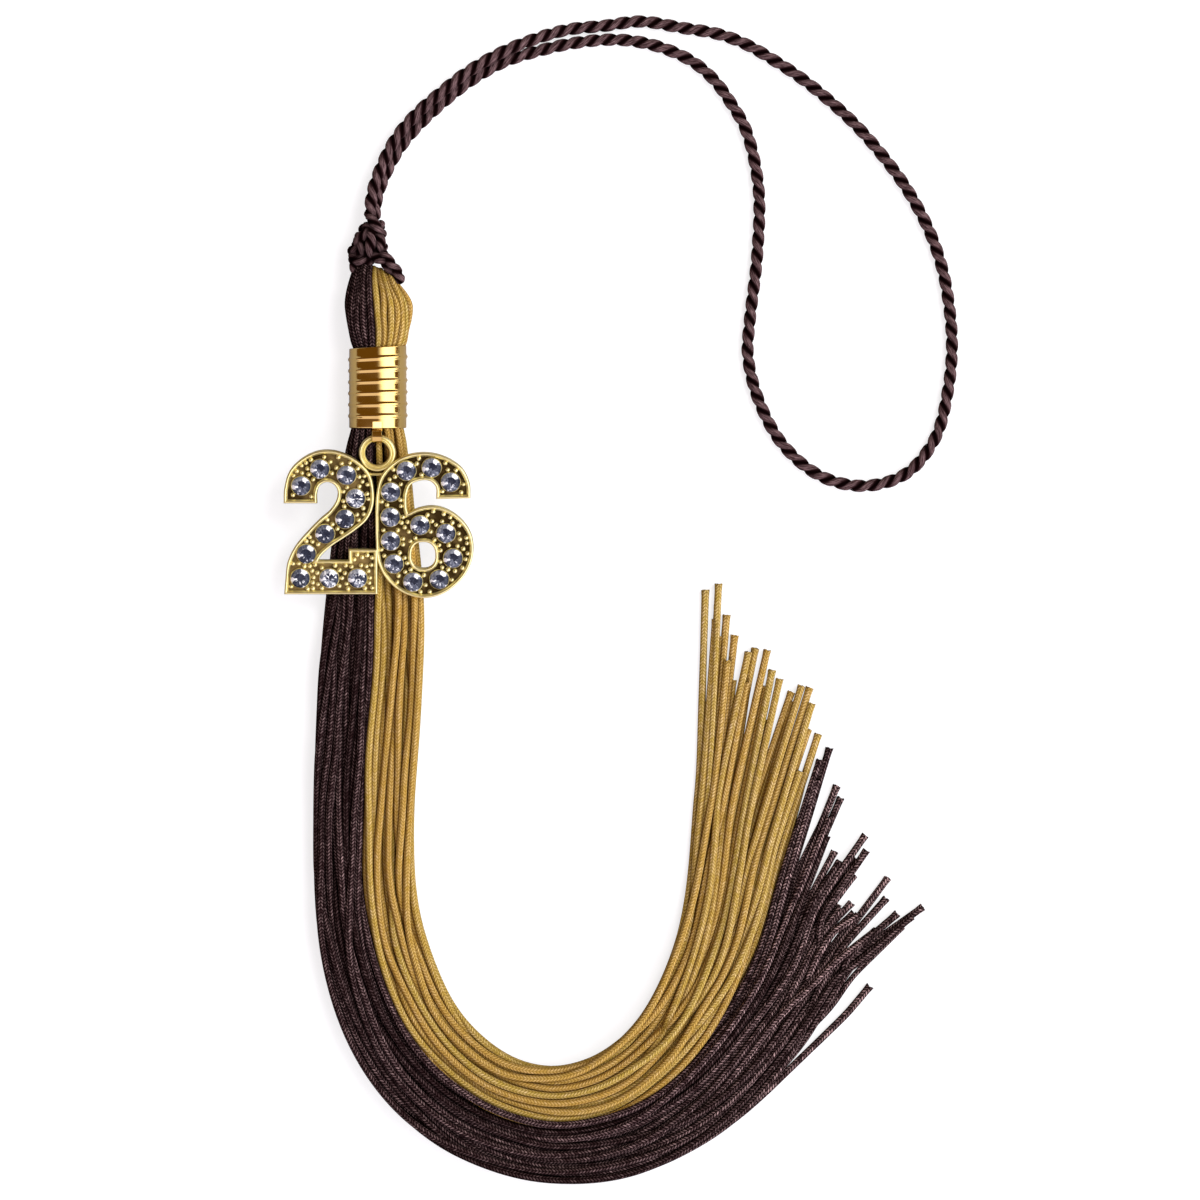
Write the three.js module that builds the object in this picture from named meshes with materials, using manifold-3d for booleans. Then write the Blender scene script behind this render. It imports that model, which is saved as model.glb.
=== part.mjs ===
// Graduation tassel lying on a flat surface: a twisted hanger cord with its knot, a skirt of dark and gold
// strands gathered in a ribbed brass ferrule, and a cast charm with two numerals set with rhinestones.
// Millimetres, +Z up from the surface. The origin lies on the surface under the middle of the ferrule,
// and +Y points along the tassel to its knot.
import * as THREE from "three";
import { mergeVertices } from "three/addons/utils/BufferGeometryUtils.js";
import Module from "manifold-3d";

const wasm = await Module();
wasm.setup();

// Driving dimensions
const GAP = 0.3; // between neighbouring pieces
const SPLIT_GAP = 0.5; // between the dark and the gold strands
const CORD_RADIUS = 1.0; // of the twisted hanger cord, over its two plies
const CORD_PITCH = 5.1; // one full turn of the two plies
const STRAND_RADIUS = 0.52; // from a strand's middle to its three edges
const ROOT_RADIUS = 0.38; // the same where the strands are packed in the ferrule
const LEVEL_HEIGHT = 0.82; // between strands that lie on each other
const NECK_RADIUS = 3.6; // of the bound strands inside the ferrule
const SLEEVE_BORE = 3.95;
const SLEEVE_RADIUS = 4.4; // of the smooth bands between the ribs
const RIB_RADIUS = 4.6;
const RIB_COUNT = 6;
const RIB_PITCH = 1.84;
const SLEEVE_SIDES = 20;
const SLEEVE_LOW = -5.5; // the ferrule's lower edge along Y, on the side of the skirt
const SLEEVE_HIGH = 7.4;
const SPLIT_LOW = { x: 0, y: -6 }; // the plane between the dark and the gold half runs through these two places
const SPLIT_HIGH = { x: -0.9, y: 21 };
const PLATE_THICKNESS = 1.6;
const RIM_WIDTH = 0.4;
const FLOOR_DEPTH = 0.6; // from the rim down to the charm's floor
const STONE_RADIUS = 1.4;
const STONE_HEIGHT = 0.8;
const CHARM_TILT = THREE.MathUtils.degToRad(9); // it leans down along the settling skirt
const HINGE = new THREE.Vector3(-0.2, -7.0, 9.1); // middle of the charm's ring where it hangs in the tongue
const TONGUE_WIDTH = 1.6;
const TONGUE_THICKNESS = 0.3;

const UP = new THREE.Vector3(0, 0, 1);
const AXIS_HEIGHT = RIB_RADIUS * Math.cos(Math.PI / SLEEVE_SIDES); // a flat of each rib lies on the surface

const colours = {
  dark: new THREE.MeshStandardMaterial({ color: 0x3a2328, roughness: 0.6, metalness: 0 }),
  gold: new THREE.MeshStandardMaterial({ color: 0xc29a48, roughness: 0.6, metalness: 0 }),
  brass: new THREE.MeshStandardMaterial({ color: 0xd9b45a, roughness: 0.22, metalness: 1 }),
  stone: new THREE.MeshStandardMaterial({ color: 0x93a4bd, roughness: 0.05, metalness: 0.1 }),
};

const tassel = new THREE.Group();

function addMesh(parent, name, geometry, material) {
  const mesh = new THREE.Mesh(geometry, material);
  mesh.name = name;
  parent.add(mesh);
  return mesh;
}

// Solids for joining and cutting
function solidOf(geometry) {
  const bare = new THREE.BufferGeometry();
  bare.setAttribute("position", geometry.getAttribute("position").clone());
  if (geometry.index) bare.setIndex(geometry.index.clone());
  const merged = mergeVertices(bare, 1e-4);
  return new wasm.Manifold(
    new wasm.Mesh({
      numProp: 3,
      vertProperties: new Float32Array(merged.getAttribute("position").array),
      triVerts: new Uint32Array(merged.index.array),
    }),
  );
}

function geometryOf(solid) {
  const mesh = solid.getMesh();
  const geometry = new THREE.BufferGeometry();
  geometry.setAttribute("position", new THREE.BufferAttribute(mesh.vertProperties, 3));
  geometry.setIndex(new THREE.BufferAttribute(mesh.triVerts, 1));
  return geometry;
}

function joined(geometries) {
  return geometries.map(solidOf).reduce((whole, next) => whole.add(next));
}

function boxBetween(low, high) {
  const size = new THREE.Vector3().subVectors(high, low);
  const middle = new THREE.Vector3().addVectors(low, high).multiplyScalar(0.5);
  return new THREE.BoxGeometry(size.x, size.y, size.z).translate(middle.x, middle.y, middle.z);
}

// A closed tube: the points of a plain cylinder are moved out to a row of stations. Each station has a
// centre, a side and an up direction, and radiusAt gives the reach at an angle that starts from up.
function sweep(stations, sides, radiusAt) {
  const rows = stations.length - 1;
  const tube = new THREE.CylinderGeometry(1, 1, 1, sides, rows);
  const position = tube.getAttribute("position");
  const point = new THREE.Vector3();
  for (let i = 0; i < position.count; i++) {
    const row = Math.round((0.5 - position.getY(i)) * rows);
    const across = position.getX(i);
    const above = position.getZ(i);
    const reach = Math.hypot(across, above) > 0.5 ? radiusAt(Math.atan2(across, above), row) : 0;
    const station = stations[row];
    point.copy(station.centre).addScaledVector(station.side, across * reach);
    point.addScaledVector(station.up, above * reach);
    position.setXYZ(i, point.x, point.y, point.z);
  }
  return tube;
}

// Stations along a row of centres that keep their up direction as near to +Z as the path allows.
function levelStations(centres) {
  return centres.map((centre, i) => {
    const before = centres[Math.max(i - 1, 0)];
    const after = centres[Math.min(i + 1, centres.length - 1)];
    const along = new THREE.Vector3().subVectors(after, before).normalize();
    const side = new THREE.Vector3().crossVectors(UP, along).normalize();
    return { centre, side, up: new THREE.Vector3().crossVectors(along, side) };
  });
}

// Twisted cord: two plies laid left-handed, as a section with two lobes that turns along the way.
const TWIST_SIDES = 6;
const STEPS_PER_TURN = 6;

function twistedCord(points) {
  const path = new THREE.CatmullRomCurve3(points, false, "centripetal");
  const length = path.getLength();
  const steps = Math.ceil((length / CORD_PITCH) * STEPS_PER_TURN);
  const frames = path.computeFrenetFrames(steps, false);
  const stations = path.getSpacedPoints(steps).map((centre, i) => ({
    centre,
    side: frames.binormals[i],
    up: frames.normals[i].clone().negate(),
  }));
  const turnPerStep = (2 * Math.PI * length) / CORD_PITCH / steps;
  return sweep(stations, TWIST_SIDES, (angle, row) => {
    const lobe = Math.cos(2 * (angle + row * turnPerStep));
    return CORD_RADIUS * (0.86 + 0.14 * lobe);
  });
}

// Hanger cord. The pair rows hold the two legs that run together up from the knot: the middle between them,
// how far apart they lie and how high the upper leg is. The loop then follows one leg round to the other.
const PAIR = [
  { x: -1.1, y: 28.7, apart: 0.5, upper: 4.3, lower: 2.1 },
  { x: -0.6, y: 31.9, apart: 0.8, upper: 3.6, lower: 1.4 },
  { x: 1.0, y: 36.4, apart: 1.1, upper: 3.0, lower: 1.0 },
  { x: 3.4, y: 40.7, apart: 1.3, upper: 2.9, lower: 1.0 },
  { x: 6.8, y: 44.6, apart: 1.3, upper: 2.9, lower: 1.0 },
  { x: 10.8, y: 48.1, apart: 1.2, upper: 2.9, lower: 1.0 },
  { x: 14.3, y: 50.8, apart: 1.2, upper: 2.9, lower: 1.0 },
  { x: 19.7, y: 53.9, apart: 1.3, upper: 2.8, lower: 1.0 },
  { x: 25.1, y: 55.9, apart: 1.8, upper: 2.4, lower: 1.0 },
  { x: 30.6, y: 57.4, apart: 2.3, upper: 1.0, lower: 1.0 },
];
const LOOP = [
  [36.0, 59.1],
  [41.9, 59.8],
  [48.5, 58.8],
  [54.7, 57.7],
  [58.9, 56.1],
  [63.1, 53.7],
  [67.4, 50.9],
  [71.6, 47.6],
  [76.1, 43.5],
  [80.2, 38.9],
  [84.5, 33.1],
  [88.2, 26.2],
  [90.3, 20.0],
  [91.4, 13.8],
  [91.8, 7.4],
  [91.1, 0.3],
  [89.1, -7.0],
  [84.5, -12.6],
  [77.9, -14.6],
  [70.9, -13.1],
  [64.8, -8.1],
  [60.8, -0.8],
  [59.1, 6.3],
  [59.4, 11.8],
  [60.6, 22.5],
  [60.8, 33.2],
  [58.8, 42.4],
  [56.6, 46.4],
  [53.8, 50.3],
  [50.5, 53.2],
  [46.2, 55.3],
  [41.8, 56.5],
  [37.2, 56.9],
];

// One leg of the pair; side is 1 for the upper leg on the left and -1 for the lower leg on the right.
function leg(side) {
  return PAIR.map((row, i) => {
    const before = PAIR[Math.max(i - 1, 0)];
    const after = PAIR[Math.min(i + 1, PAIR.length - 1)];
    const along = new THREE.Vector2(after.x - before.x, after.y - before.y).normalize();
    const shift = (side * row.apart) / 2;
    return new THREE.Vector3(row.x - along.y * shift, row.y + along.x * shift, side > 0 ? row.upper : row.lower);
  });
}

function hangerCord() {
  const loop = LOOP.map(([x, y]) => new THREE.Vector3(x, y, CORD_RADIUS));
  return twistedCord([...leg(1), ...loop, ...leg(-1).reverse()]);
}

// Knot and eye. Each turn is a ring of the same cord round the knot's middle, and its ends run into the core.
const KNOT_TOP = 28.2;
const KNOT_HEIGHT = 3.15; // of the knot's middle over the surface
const TURNS = [
  { x: -1.2, y: 26.3, width: 1.15, height: 1.2, slope: -0.5 },
  { x: -1.6, y: 24.6, width: 1.7, height: 1.6, slope: -0.35 },
  { x: -1.9, y: 22.9, width: 2.05, height: 2.0, slope: -0.25 },
];
const EYE = [
  [-1.9, 24.0, 3.6],
  [-2.9, 21.8, 4.2],
  [-3.3, 19.8, 4.5],
  [-2.7, 17.9, 4.5],
  [-0.6, 16.9, 4.5],
  [1.7, 17.1, 4.7],
  [3.0, 18.0, 5.5],
  [3.0, 19.1, 6.2],
  [2.4, 20.1, 6.2],
  [1.6, 21.0, 5.9],
  [0.8, 22.0, 5.2],
  [0.3, 23.4, 4.0],
];

function hangerKnot() {
  const turns = TURNS.map(({ x, y, width, height, slope }) => {
    const ring = [];
    for (let i = 0; i <= 11; i++) {
      const angle = -Math.PI / 2 + (i / 11) * 2 * Math.PI * 0.93;
      const across = width * Math.cos(angle);
      const above = height * Math.sin(angle);
      ring.push(new THREE.Vector3(x + across, y + slope * across, KNOT_HEIGHT + above));
    }
    return twistedCord(ring);
  });
  const core = twistedCord([new THREE.Vector3(-1.4, 27.0, KNOT_HEIGHT), new THREE.Vector3(-1.7, 22.0, KNOT_HEIGHT)]);
  const front = [-0.9, 0.3].map((x) =>
    twistedCord([
      new THREE.Vector3(x - 0.4, 26.0, KNOT_HEIGHT + 0.6),
      new THREE.Vector3(x, 24.0, KNOT_HEIGHT + 2.2),
      new THREE.Vector3(x + 0.3, 22.4, KNOT_HEIGHT + 1.9),
      new THREE.Vector3(x + 0.2, 21.6, KNOT_HEIGHT + 0.8),
    ]),
  );
  const stubs = [1, -1].map((side) => {
    const end = leg(side)[0];
    return twistedCord([
      new THREE.Vector3(end.x - side * 0.1, KNOT_TOP - 3.0, KNOT_HEIGHT + (end.z - KNOT_HEIGHT) * 0.6),
      new THREE.Vector3(end.x, KNOT_TOP + 0.5, end.z),
    ]);
  });
  const eye = twistedCord(EYE.map((point) => new THREE.Vector3(...point)));
  const below = boxBetween(new THREE.Vector3(-10, 10, 0), new THREE.Vector3(10, KNOT_TOP, 12));
  return joined([...turns, core, ...front, ...stubs, eye]).intersect(solidOf(below));
}

// Skirt. Each row is a section across the two halves: their outer edges and the line where they meet, how far
// the strands have spread from their places in the ferrule and settled on the surface, and how far the
// stacks have opened into the fan and dropped to two levels.
const SECTIONS = [
  { outer: [-3.6, -4.4], split: [-0.5, -4.4], inner: [3.6, -4.4], spread: 0, settle: 0, open: 0, drop: 0 },
  { outer: [-3.6, -5.7], split: [-0.5, -5.7], inner: [3.6, -5.7], spread: 0, settle: 0, open: 0, drop: 0 },
  { outer: [-4.9, -7.4], split: [-0.2, -7.4], inner: [4.6, -7.4], spread: 0.9, settle: 0.1, open: 0, drop: 0 },
  { outer: [-6.4, -17.0], split: [-0.1, -17.0], inner: [5.6, -17.0], spread: 1, settle: 0.42, open: 0, drop: 0 },
  { outer: [-8.5, -32.6], split: [0.0, -32.6], inner: [7.2, -32.6], spread: 1, settle: 0.88, open: 0, drop: 0 },
  { outer: [-9.8, -48.0], split: [-0.8, -48.0], inner: [6.9, -48.0], spread: 1, settle: 1, open: 0, drop: 0 },
  { outer: [-10.4, -68.1], split: [-2.0, -68.1], inner: [5.6, -68.1], spread: 1, settle: 1, open: 0, drop: 0 },
  { outer: [-10.1, -82.0], split: [-1.6, -81.5], inner: [6.2, -81.0], spread: 1, settle: 1, open: 0, drop: 0 },
  { outer: [-8.0, -95.4], split: [0.8, -92.8], inner: [8.6, -89.9], spread: 1, settle: 1, open: 0, drop: 0 },
  { outer: [-2.9, -107.4], split: [5.2, -102.6], inner: [12.4, -98.0], spread: 1, settle: 1, open: 0, drop: 0 },
  { outer: [5.3, -117.2], split: [11.6, -109.9], inner: [17.4, -103.5], spread: 1, settle: 1, open: 0, drop: 0 },
  { outer: [15.8, -123.2], split: [19.6, -114.7], inner: [23.2, -106.9], spread: 1, settle: 1, open: 0, drop: 0 },
  { outer: [28.8, -126.0], split: [29.0, -116.7], inner: [29.2, -107.5], spread: 1, settle: 1, open: 0, drop: 0 },
  { outer: [42.4, -124.4], split: [38.8, -114.6], inner: [35.2, -105.5], spread: 1, settle: 1, open: 0.1, drop: 0 },
  { outer: [55.6, -117.8], split: [48.0, -108.2], inner: [40.9, -100.8], spread: 1, settle: 1, open: 0.4, drop: 0 },
  { outer: [66.3, -108.4], split: [55.4, -99.6], inner: [45.6, -92.6], spread: 1, settle: 1, open: 0.8, drop: 0 },
  { outer: [73.7, -101.9], split: [61.0, -89.2], inner: [49.0, -81.0], spread: 1, settle: 1, open: 1, drop: 0.1 },
  { outer: [78.1, -97.0], split: [65.2, -74.6], inner: [50.9, -60.5], spread: 1, settle: 1, open: 1, drop: 0.7 },
  { outer: [84.6, -88.8], split: [70.6, -56.8], inner: [52.2, -32.0], spread: 1, settle: 1, open: 1, drop: 1 },
];
const COLUMNS = 8; // stacks of strands in each half
const ROOT_PITCH = 1.6; // between the strands of a stack inside the ferrule
const ROOT_REACH = 3.2; // of the outermost strand's middle inside the ferrule
const ROOT_PARTING = 0.3; // more room on either side of the split
const MOST_LEVELS = 4;
// How much longer or shorter than its row each pair of strands ends, from the middle of the fan outward.
const GOLD_REACH = [1, 4, 4.5, 5, 2, 1.5, 3.5, 0, -0.5, 1, 0.5, -1, 4, 0];
const DARK_REACH = [1.5, -2, -0.5, -7, -7, -6, 0.5, 0, -6, 1, -4.5, 1.5, 5, -8.5];

// The strands of one half: their places in the ferrule, their stack, their level and their place in the fan.
function strandsOf(half) {
  const strands = [];
  for (let column = 0; column < COLUMNS; column++) {
    const order = half === "dark" ? COLUMNS - 1 - column : COLUMNS + column;
    const across = (order + 0.5) / COLUMNS - 1;
    const reach = ROOT_REACH * Math.sqrt(1 - across * across);
    const shift = order % 2 ? 0 : 0.5;
    let level = 0;
    for (let row = -MOST_LEVELS; row <= MOST_LEVELS; row++) {
      const height = (row + shift) * ROOT_PITCH;
      if (Math.abs(height) > reach) continue;
      const rootX = across * (ROOT_REACH - ROOT_PARTING) + Math.sign(across) * ROOT_PARTING;
      strands.push({ rootX, rootZ: AXIS_HEIGHT + height, column, level });
      level++;
    }
  }
  const places = new Set(strands.map(({ column, level }) => column * 2 + Math.floor(level / 2)));
  const order = [...places].sort((a, b) => a - b);
  strands.forEach((strand) => {
    strand.place = order.indexOf(strand.column * 2 + Math.floor(strand.level / 2));
  });
  return { strands, places: order.length };
}

const mix = THREE.MathUtils.lerp;

function strandTube(strand, places, edge, tipReach) {
  const columnShare = (strand.column + 0.5) / COLUMNS;
  const fanShare = (strand.place + 0.5) / places;
  const centres = SECTIONS.map((section) => {
    const share = mix(columnShare, fanShare, section.open);
    const [splitX, splitY] = section.split;
    const [edgeX, edgeY] = section[edge];
    const width = Math.hypot(edgeX - splitX, edgeY - splitY);
    const inset = mix(SPLIT_GAP / 2 / width, 1, share);
    const level = mix(strand.level, strand.level % 2, section.drop);
    const settled = STRAND_RADIUS / 2 + level * LEVEL_HEIGHT;
    return new THREE.Vector3(
      mix(strand.rootX, mix(splitX, edgeX, inset), section.spread),
      mix(splitY, edgeY, inset),
      mix(strand.rootZ, settled, section.settle),
    );
  });
  const last = centres.at(-1);
  const along = new THREE.Vector3().subVectors(last, centres.at(-2)).setZ(0).normalize();
  last.addScaledVector(along, tipReach[strand.place]);
  const radius = SECTIONS.map((section) => mix(ROOT_RADIUS, STRAND_RADIUS, section.spread));
  return sweep(levelStations(centres), 3, (angle, row) => radius[row]);
}

// Head: the strands folded over the eye, and the neck where they are bound inside the ferrule.
const HEAD = [
  { y: -4.9, x: 0, width: NECK_RADIUS, height: NECK_RADIUS, ridge: 0 },
  { y: 7.7, x: 0, width: NECK_RADIUS, height: NECK_RADIUS, ridge: 0 },
  { y: 7.8, x: 0, width: 4.4, height: 4.1, ridge: 0.1 },
  { y: 9.0, x: -0.1, width: 4.9, height: 4.2, ridge: 0.14 },
  { y: 11.2, x: -0.2, width: 5.3, height: 4.25, ridge: 0.16 },
  { y: 13.5, x: -0.2, width: 5.4, height: 4.25, ridge: 0.16 },
  { y: 15.9, x: -0.2, width: 5.1, height: 4.1, ridge: 0.16 },
  { y: 18.0, x: -0.2, width: 4.5, height: 3.6, ridge: 0.14 },
  { y: 19.4, x: -0.5, width: 3.8, height: 2.8, ridge: 0.12 },
  { y: 20.3, x: -0.7, width: 2.8, height: 1.7, ridge: 0.08 },
];
const HEAD_RIDGES = 26;
const EYE_CHANNEL = 1.55; // radius of the way that the eye's cord takes through the fold

function headSolid() {
  const stations = HEAD.map(({ x, y }) => ({
    centre: new THREE.Vector3(x, y, AXIS_HEIGHT),
    side: new THREE.Vector3(-1, 0, 0),
    up: UP,
  }));
  const head = sweep(stations, 2 * HEAD_RIDGES, (angle, row) => {
    const { width, height, ridge } = HEAD[row];
    const round = (width * height) / Math.hypot(width * Math.cos(angle), height * Math.sin(angle));
    return round + ridge * Math.cos(HEAD_RIDGES * angle);
  });
  const eyeWay = new THREE.CatmullRomCurve3(EYE.map((point) => new THREE.Vector3(...point)), false, "centripetal");
  const channel = sweep(levelStations(eyeWay.getSpacedPoints(15)), 8, () => EYE_CHANNEL);
  return solidOf(head).subtract(solidOf(channel));
}

function skirtHalf(half, edge, tipReach) {
  const { strands, places } = strandsOf(half);
  const tubes = strands.map((strand) => strandTube(strand, places, edge, tipReach));
  const away = half === "dark" ? -1 : 1;
  const side = [
    new THREE.Vector2(SPLIT_LOW.x + (away * GAP) / 2, SPLIT_LOW.y),
    new THREE.Vector2(SPLIT_HIGH.x + (away * GAP) / 2, SPLIT_HIGH.y),
    new THREE.Vector2(away * 20, SPLIT_HIGH.y),
    new THREE.Vector2(away * 20, SPLIT_LOW.y),
  ];
  return joined(tubes).add(headSolid().intersect(solidOf(prism(side, null, -5, 20))));
}

// Ferrule: a lathe-turned sleeve with ribs, and the tongue bent round the charm's ring.
const RIB_CREST = 0.5;
const RIB_SLOPE = 0.14;

function ferrule() {
  const profile = [new THREE.Vector2(SLEEVE_BORE, SLEEVE_LOW), new THREE.Vector2(SLEEVE_RADIUS, SLEEVE_LOW)];
  for (let rib = 0; rib < RIB_COUNT; rib++) {
    const middle = (rib - RIB_COUNT / 2 + 1) * RIB_PITCH;
    profile.push(new THREE.Vector2(SLEEVE_RADIUS, middle - RIB_CREST / 2 - RIB_SLOPE));
    profile.push(new THREE.Vector2(RIB_RADIUS, middle - RIB_CREST / 2));
    profile.push(new THREE.Vector2(RIB_RADIUS, middle + RIB_CREST / 2));
    profile.push(new THREE.Vector2(SLEEVE_RADIUS, middle + RIB_CREST / 2 + RIB_SLOPE));
  }
  profile.push(new THREE.Vector2(SLEEVE_RADIUS, SLEEVE_HIGH), new THREE.Vector2(SLEEVE_BORE, SLEEVE_HIGH));
  profile.push(profile[0].clone());
  const sleeve = new THREE.LatheGeometry(profile, SLEEVE_SIDES, Math.PI / SLEEVE_SIDES);
  sleeve.translate(0, 0, AXIS_HEIGHT);
  return joined([sleeve, tongue()]);
}

// The tongue's side view, drawn with Y across and Z up, and given its width along X.
function tongue() {
  const hookRadius = 1.15;
  const hookMiddle = HINGE.y - 0.07; // the ring's wire curves away on this side
  const from = THREE.MathUtils.degToRad(-12);
  const to = THREE.MathUtils.degToRad(205);
  const inside = hookRadius - TONGUE_THICKNESS / 2;
  const outside = hookRadius + TONGUE_THICKNESS / 2;
  const root = -4.1;
  const rootTop = AXIS_HEIGHT + SLEEVE_RADIUS + 0.15;
  const side = new THREE.Shape();
  side.moveTo(root, rootTop);
  side.lineTo(root, rootTop - 0.4);
  side.lineTo(hookMiddle + inside * Math.cos(from), rootTop - 0.4);
  side.absarc(hookMiddle, HINGE.z, inside, from, to, false);
  side.absarc(hookMiddle, HINGE.z, outside, to, THREE.MathUtils.degToRad(12), true);
  side.lineTo(hookMiddle + outside * 1.1, rootTop);
  side.closePath();
  const strip = new THREE.ExtrudeGeometry(side, { depth: TONGUE_WIDTH, bevelEnabled: false, curveSegments: 8 });
  strip.applyMatrix4(
    new THREE.Matrix4().makeBasis(new THREE.Vector3(0, 1, 0), UP, new THREE.Vector3(1, 0, 0)),
  );
  return strip.translate(HINGE.x - TONGUE_WIDTH / 2, 0, 0);
}

// Charm, drawn flat round the middle of its ring's hanging point, with the numerals below it.
const TWO = [
  [-14.9, -10.4],
  [-14.8, -8.1],
  [-13.9, -5.2],
  [-11.9, -3.2],
  [-9.6, -2.1],
  [-7.5, -1.9],
  [-5.1, -2.5],
  [-2.9, -3.8],
  [-1.2, -5.7],
  [-0.6, -8.1],
  [-0.7, -10.8],
  [-1.7, -13.0],
  [-3.6, -14.7],
  [-5.5, -16.0],
  [-7.3, -17.2],
  [-8.9, -18.6],
  [-9.5, -19.5],
  [-4.7, -19.5],
  [-4.7, -17.7],
  [-0.1, -17.7],
  [-0.1, -25.0],
  [-15.0, -25.0],
  [-14.8, -22.8],
  [-14.4, -19.8],
  [-13.2, -17.3],
  [-11.0, -14.7],
  [-9.1, -12.8],
  [-7.6, -11.5],
  [-6.6, -10.0],
  [-6.3, -8.6],
  [-6.8, -7.5],
  [-8.0, -7.0],
  [-9.1, -7.5],
  [-9.6, -8.8],
  [-9.6, -10.4],
];
const SIX = [
  [14.7, -9.6],
  [9.3, -9.7],
  [9.2, -7.7],
  [8.2, -6.8],
  [6.6, -6.8],
  [5.3, -7.4],
  [4.7, -8.8],
  [4.6, -10.8],
  [4.8, -11.9],
  [6.6, -11.1],
  [8.9, -10.8],
  [11.3, -11.5],
  [13.5, -13.2],
  [14.9, -15.6],
  [15.1, -18.6],
  [14.1, -21.4],
  [12.2, -23.6],
  [9.8, -25.1],
  [7.1, -25.6],
  [4.7, -25.1],
  [2.5, -23.8],
  [0.8, -21.8],
  [-0.2, -19.2],
  [-0.4, -16.1],
  [-0.4, -12.3],
  [-0.2, -8.8],
  [0.5, -6.1],
  [2.2, -4.1],
  [4.4, -2.8],
  [6.9, -2.3],
  [9.3, -2.5],
  [11.6, -3.4],
  [13.5, -4.9],
  [14.6, -7.3],
];
const COUNTER = { x: 7.2, y: -18.7, width: 1.9, height: 2.1, points: 12 };
const TWO_STONES = [
  [-12.1, -7.6],
  [-9.1, -4.9],
  [-4.9, -5.9],
  [-3.5, -9.6],
  [-5.2, -12.9],
  [-8.4, -15.3],
  [-11.4, -18.5],
  [-12.4, -22.4],
  [-7.8, -22.4],
  [-3.3, -22.4],
];
const SIX_STONES = [
  [4.6, -5.2],
  [8.6, -4.7],
  [11.6, -7.0],
  [2.1, -8.6],
  [2.0, -12.6],
  [2.0, -16.4],
  [2.5, -20.1],
  [6.7, -13.9],
  [10.8, -15.2],
  [11.9, -19.2],
  [5.5, -23.0],
  [9.7, -22.6],
];
const RING_RADIUS = 2.4;
const RING_WIRE = 0.525;

// The outline moved inward by a distance, each corner along the bisector of its two edges.
function inset(outline, distance) {
  const turning = Math.sign(THREE.ShapeUtils.area(outline));
  return outline.map((point, i) => {
    const before = outline.at(i - 1);
    const after = outline[(i + 1) % outline.length];
    const arriving = new THREE.Vector2().subVectors(point, before).normalize();
    const leaving = new THREE.Vector2().subVectors(after, point).normalize();
    const normalIn = new THREE.Vector2(-arriving.y, arriving.x);
    const normalOut = new THREE.Vector2(-leaving.y, leaving.x);
    const bisector = new THREE.Vector2().addVectors(normalIn, normalOut).normalize();
    return point.clone().addScaledVector(bisector, (turning * distance) / Math.max(bisector.dot(normalIn), 0.4));
  });
}

function prism(outline, hole, low, high) {
  const shape = new THREE.Shape(outline);
  if (hole) shape.holes.push(new THREE.Path(hole));
  return new THREE.ExtrudeGeometry(shape, { depth: high - low, bevelEnabled: false }).translate(0, 0, low);
}

function counterOutline(grow) {
  const outline = [];
  for (let i = 0; i < COUNTER.points; i++) {
    const angle = (i / COUNTER.points) * 2 * Math.PI;
    const x = COUNTER.x + (COUNTER.width + grow) * Math.cos(angle);
    outline.push(new THREE.Vector2(x, COUNTER.y + (COUNTER.height + grow) * Math.sin(angle)));
  }
  return outline;
}

function charmPlate() {
  const half = PLATE_THICKNESS / 2;
  const two = TWO.map(([x, y]) => new THREE.Vector2(x, y));
  const six = SIX.map(([x, y]) => new THREE.Vector2(x, y));
  const ring = new THREE.TorusGeometry(RING_RADIUS, RING_WIRE, 8, 20).translate(0, -RING_RADIUS, 0);
  const web = boxBetween(new THREE.Vector3(-1.7, -6.2, -0.5), new THREE.Vector3(1.3, -5.0, 0.5));
  const body = joined([prism(two, null, -half, half), prism(six, counterOutline(0), -half, half), ring, web]);
  const floor = half - FLOOR_DEPTH;
  const above = half + 1;
  const pockets = joined([
    prism(inset(two, RIM_WIDTH), null, floor, above),
    prism(inset(six, RIM_WIDTH), counterOutline(RIM_WIDTH), floor, above),
  ]);
  return body.subtract(pockets);
}

// A round stone: a girdle with a sloping crown up to a flat table and a short slope to its foot.
function stoneGeometry() {
  const profile = [
    new THREE.Vector2(0, 0),
    new THREE.Vector2(STONE_RADIUS * 0.85, 0),
    new THREE.Vector2(STONE_RADIUS, STONE_HEIGHT * 0.35),
    new THREE.Vector2(STONE_RADIUS * 0.55, STONE_HEIGHT),
    new THREE.Vector2(0, STONE_HEIGHT),
  ];
  return new THREE.LatheGeometry(profile, 8).rotateX(Math.PI / 2);
}

addMesh(tassel, "hanger_cord", hangerCord(), colours.dark);
addMesh(tassel, "hanger_knot", geometryOf(hangerKnot()), colours.dark);
addMesh(tassel, "dark_strands", geometryOf(skirtHalf("dark", "outer", DARK_REACH)), colours.dark);
addMesh(tassel, "gold_strands", geometryOf(skirtHalf("gold", "inner", GOLD_REACH)), colours.gold);
addMesh(tassel, "ferrule", geometryOf(ferrule()), colours.brass);

const charm = new THREE.Group();
charm.position.copy(HINGE);
charm.rotation.x = CHARM_TILT;
tassel.add(charm);
addMesh(charm, "charm_plate", geometryOf(charmPlate()), colours.brass);
const stoneFoot = PLATE_THICKNESS / 2 - FLOOR_DEPTH + GAP;
[
  ["two", TWO_STONES],
  ["six", SIX_STONES],
].forEach(([numeral, places]) => {
  places.forEach(([x, y], i) => {
    const stone = addMesh(charm, `stone_${numeral}_${i + 1}`, stoneGeometry(), colours.stone);
    stone.position.set(x, y, stoneFoot);
  });
});

export default tassel;
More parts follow.
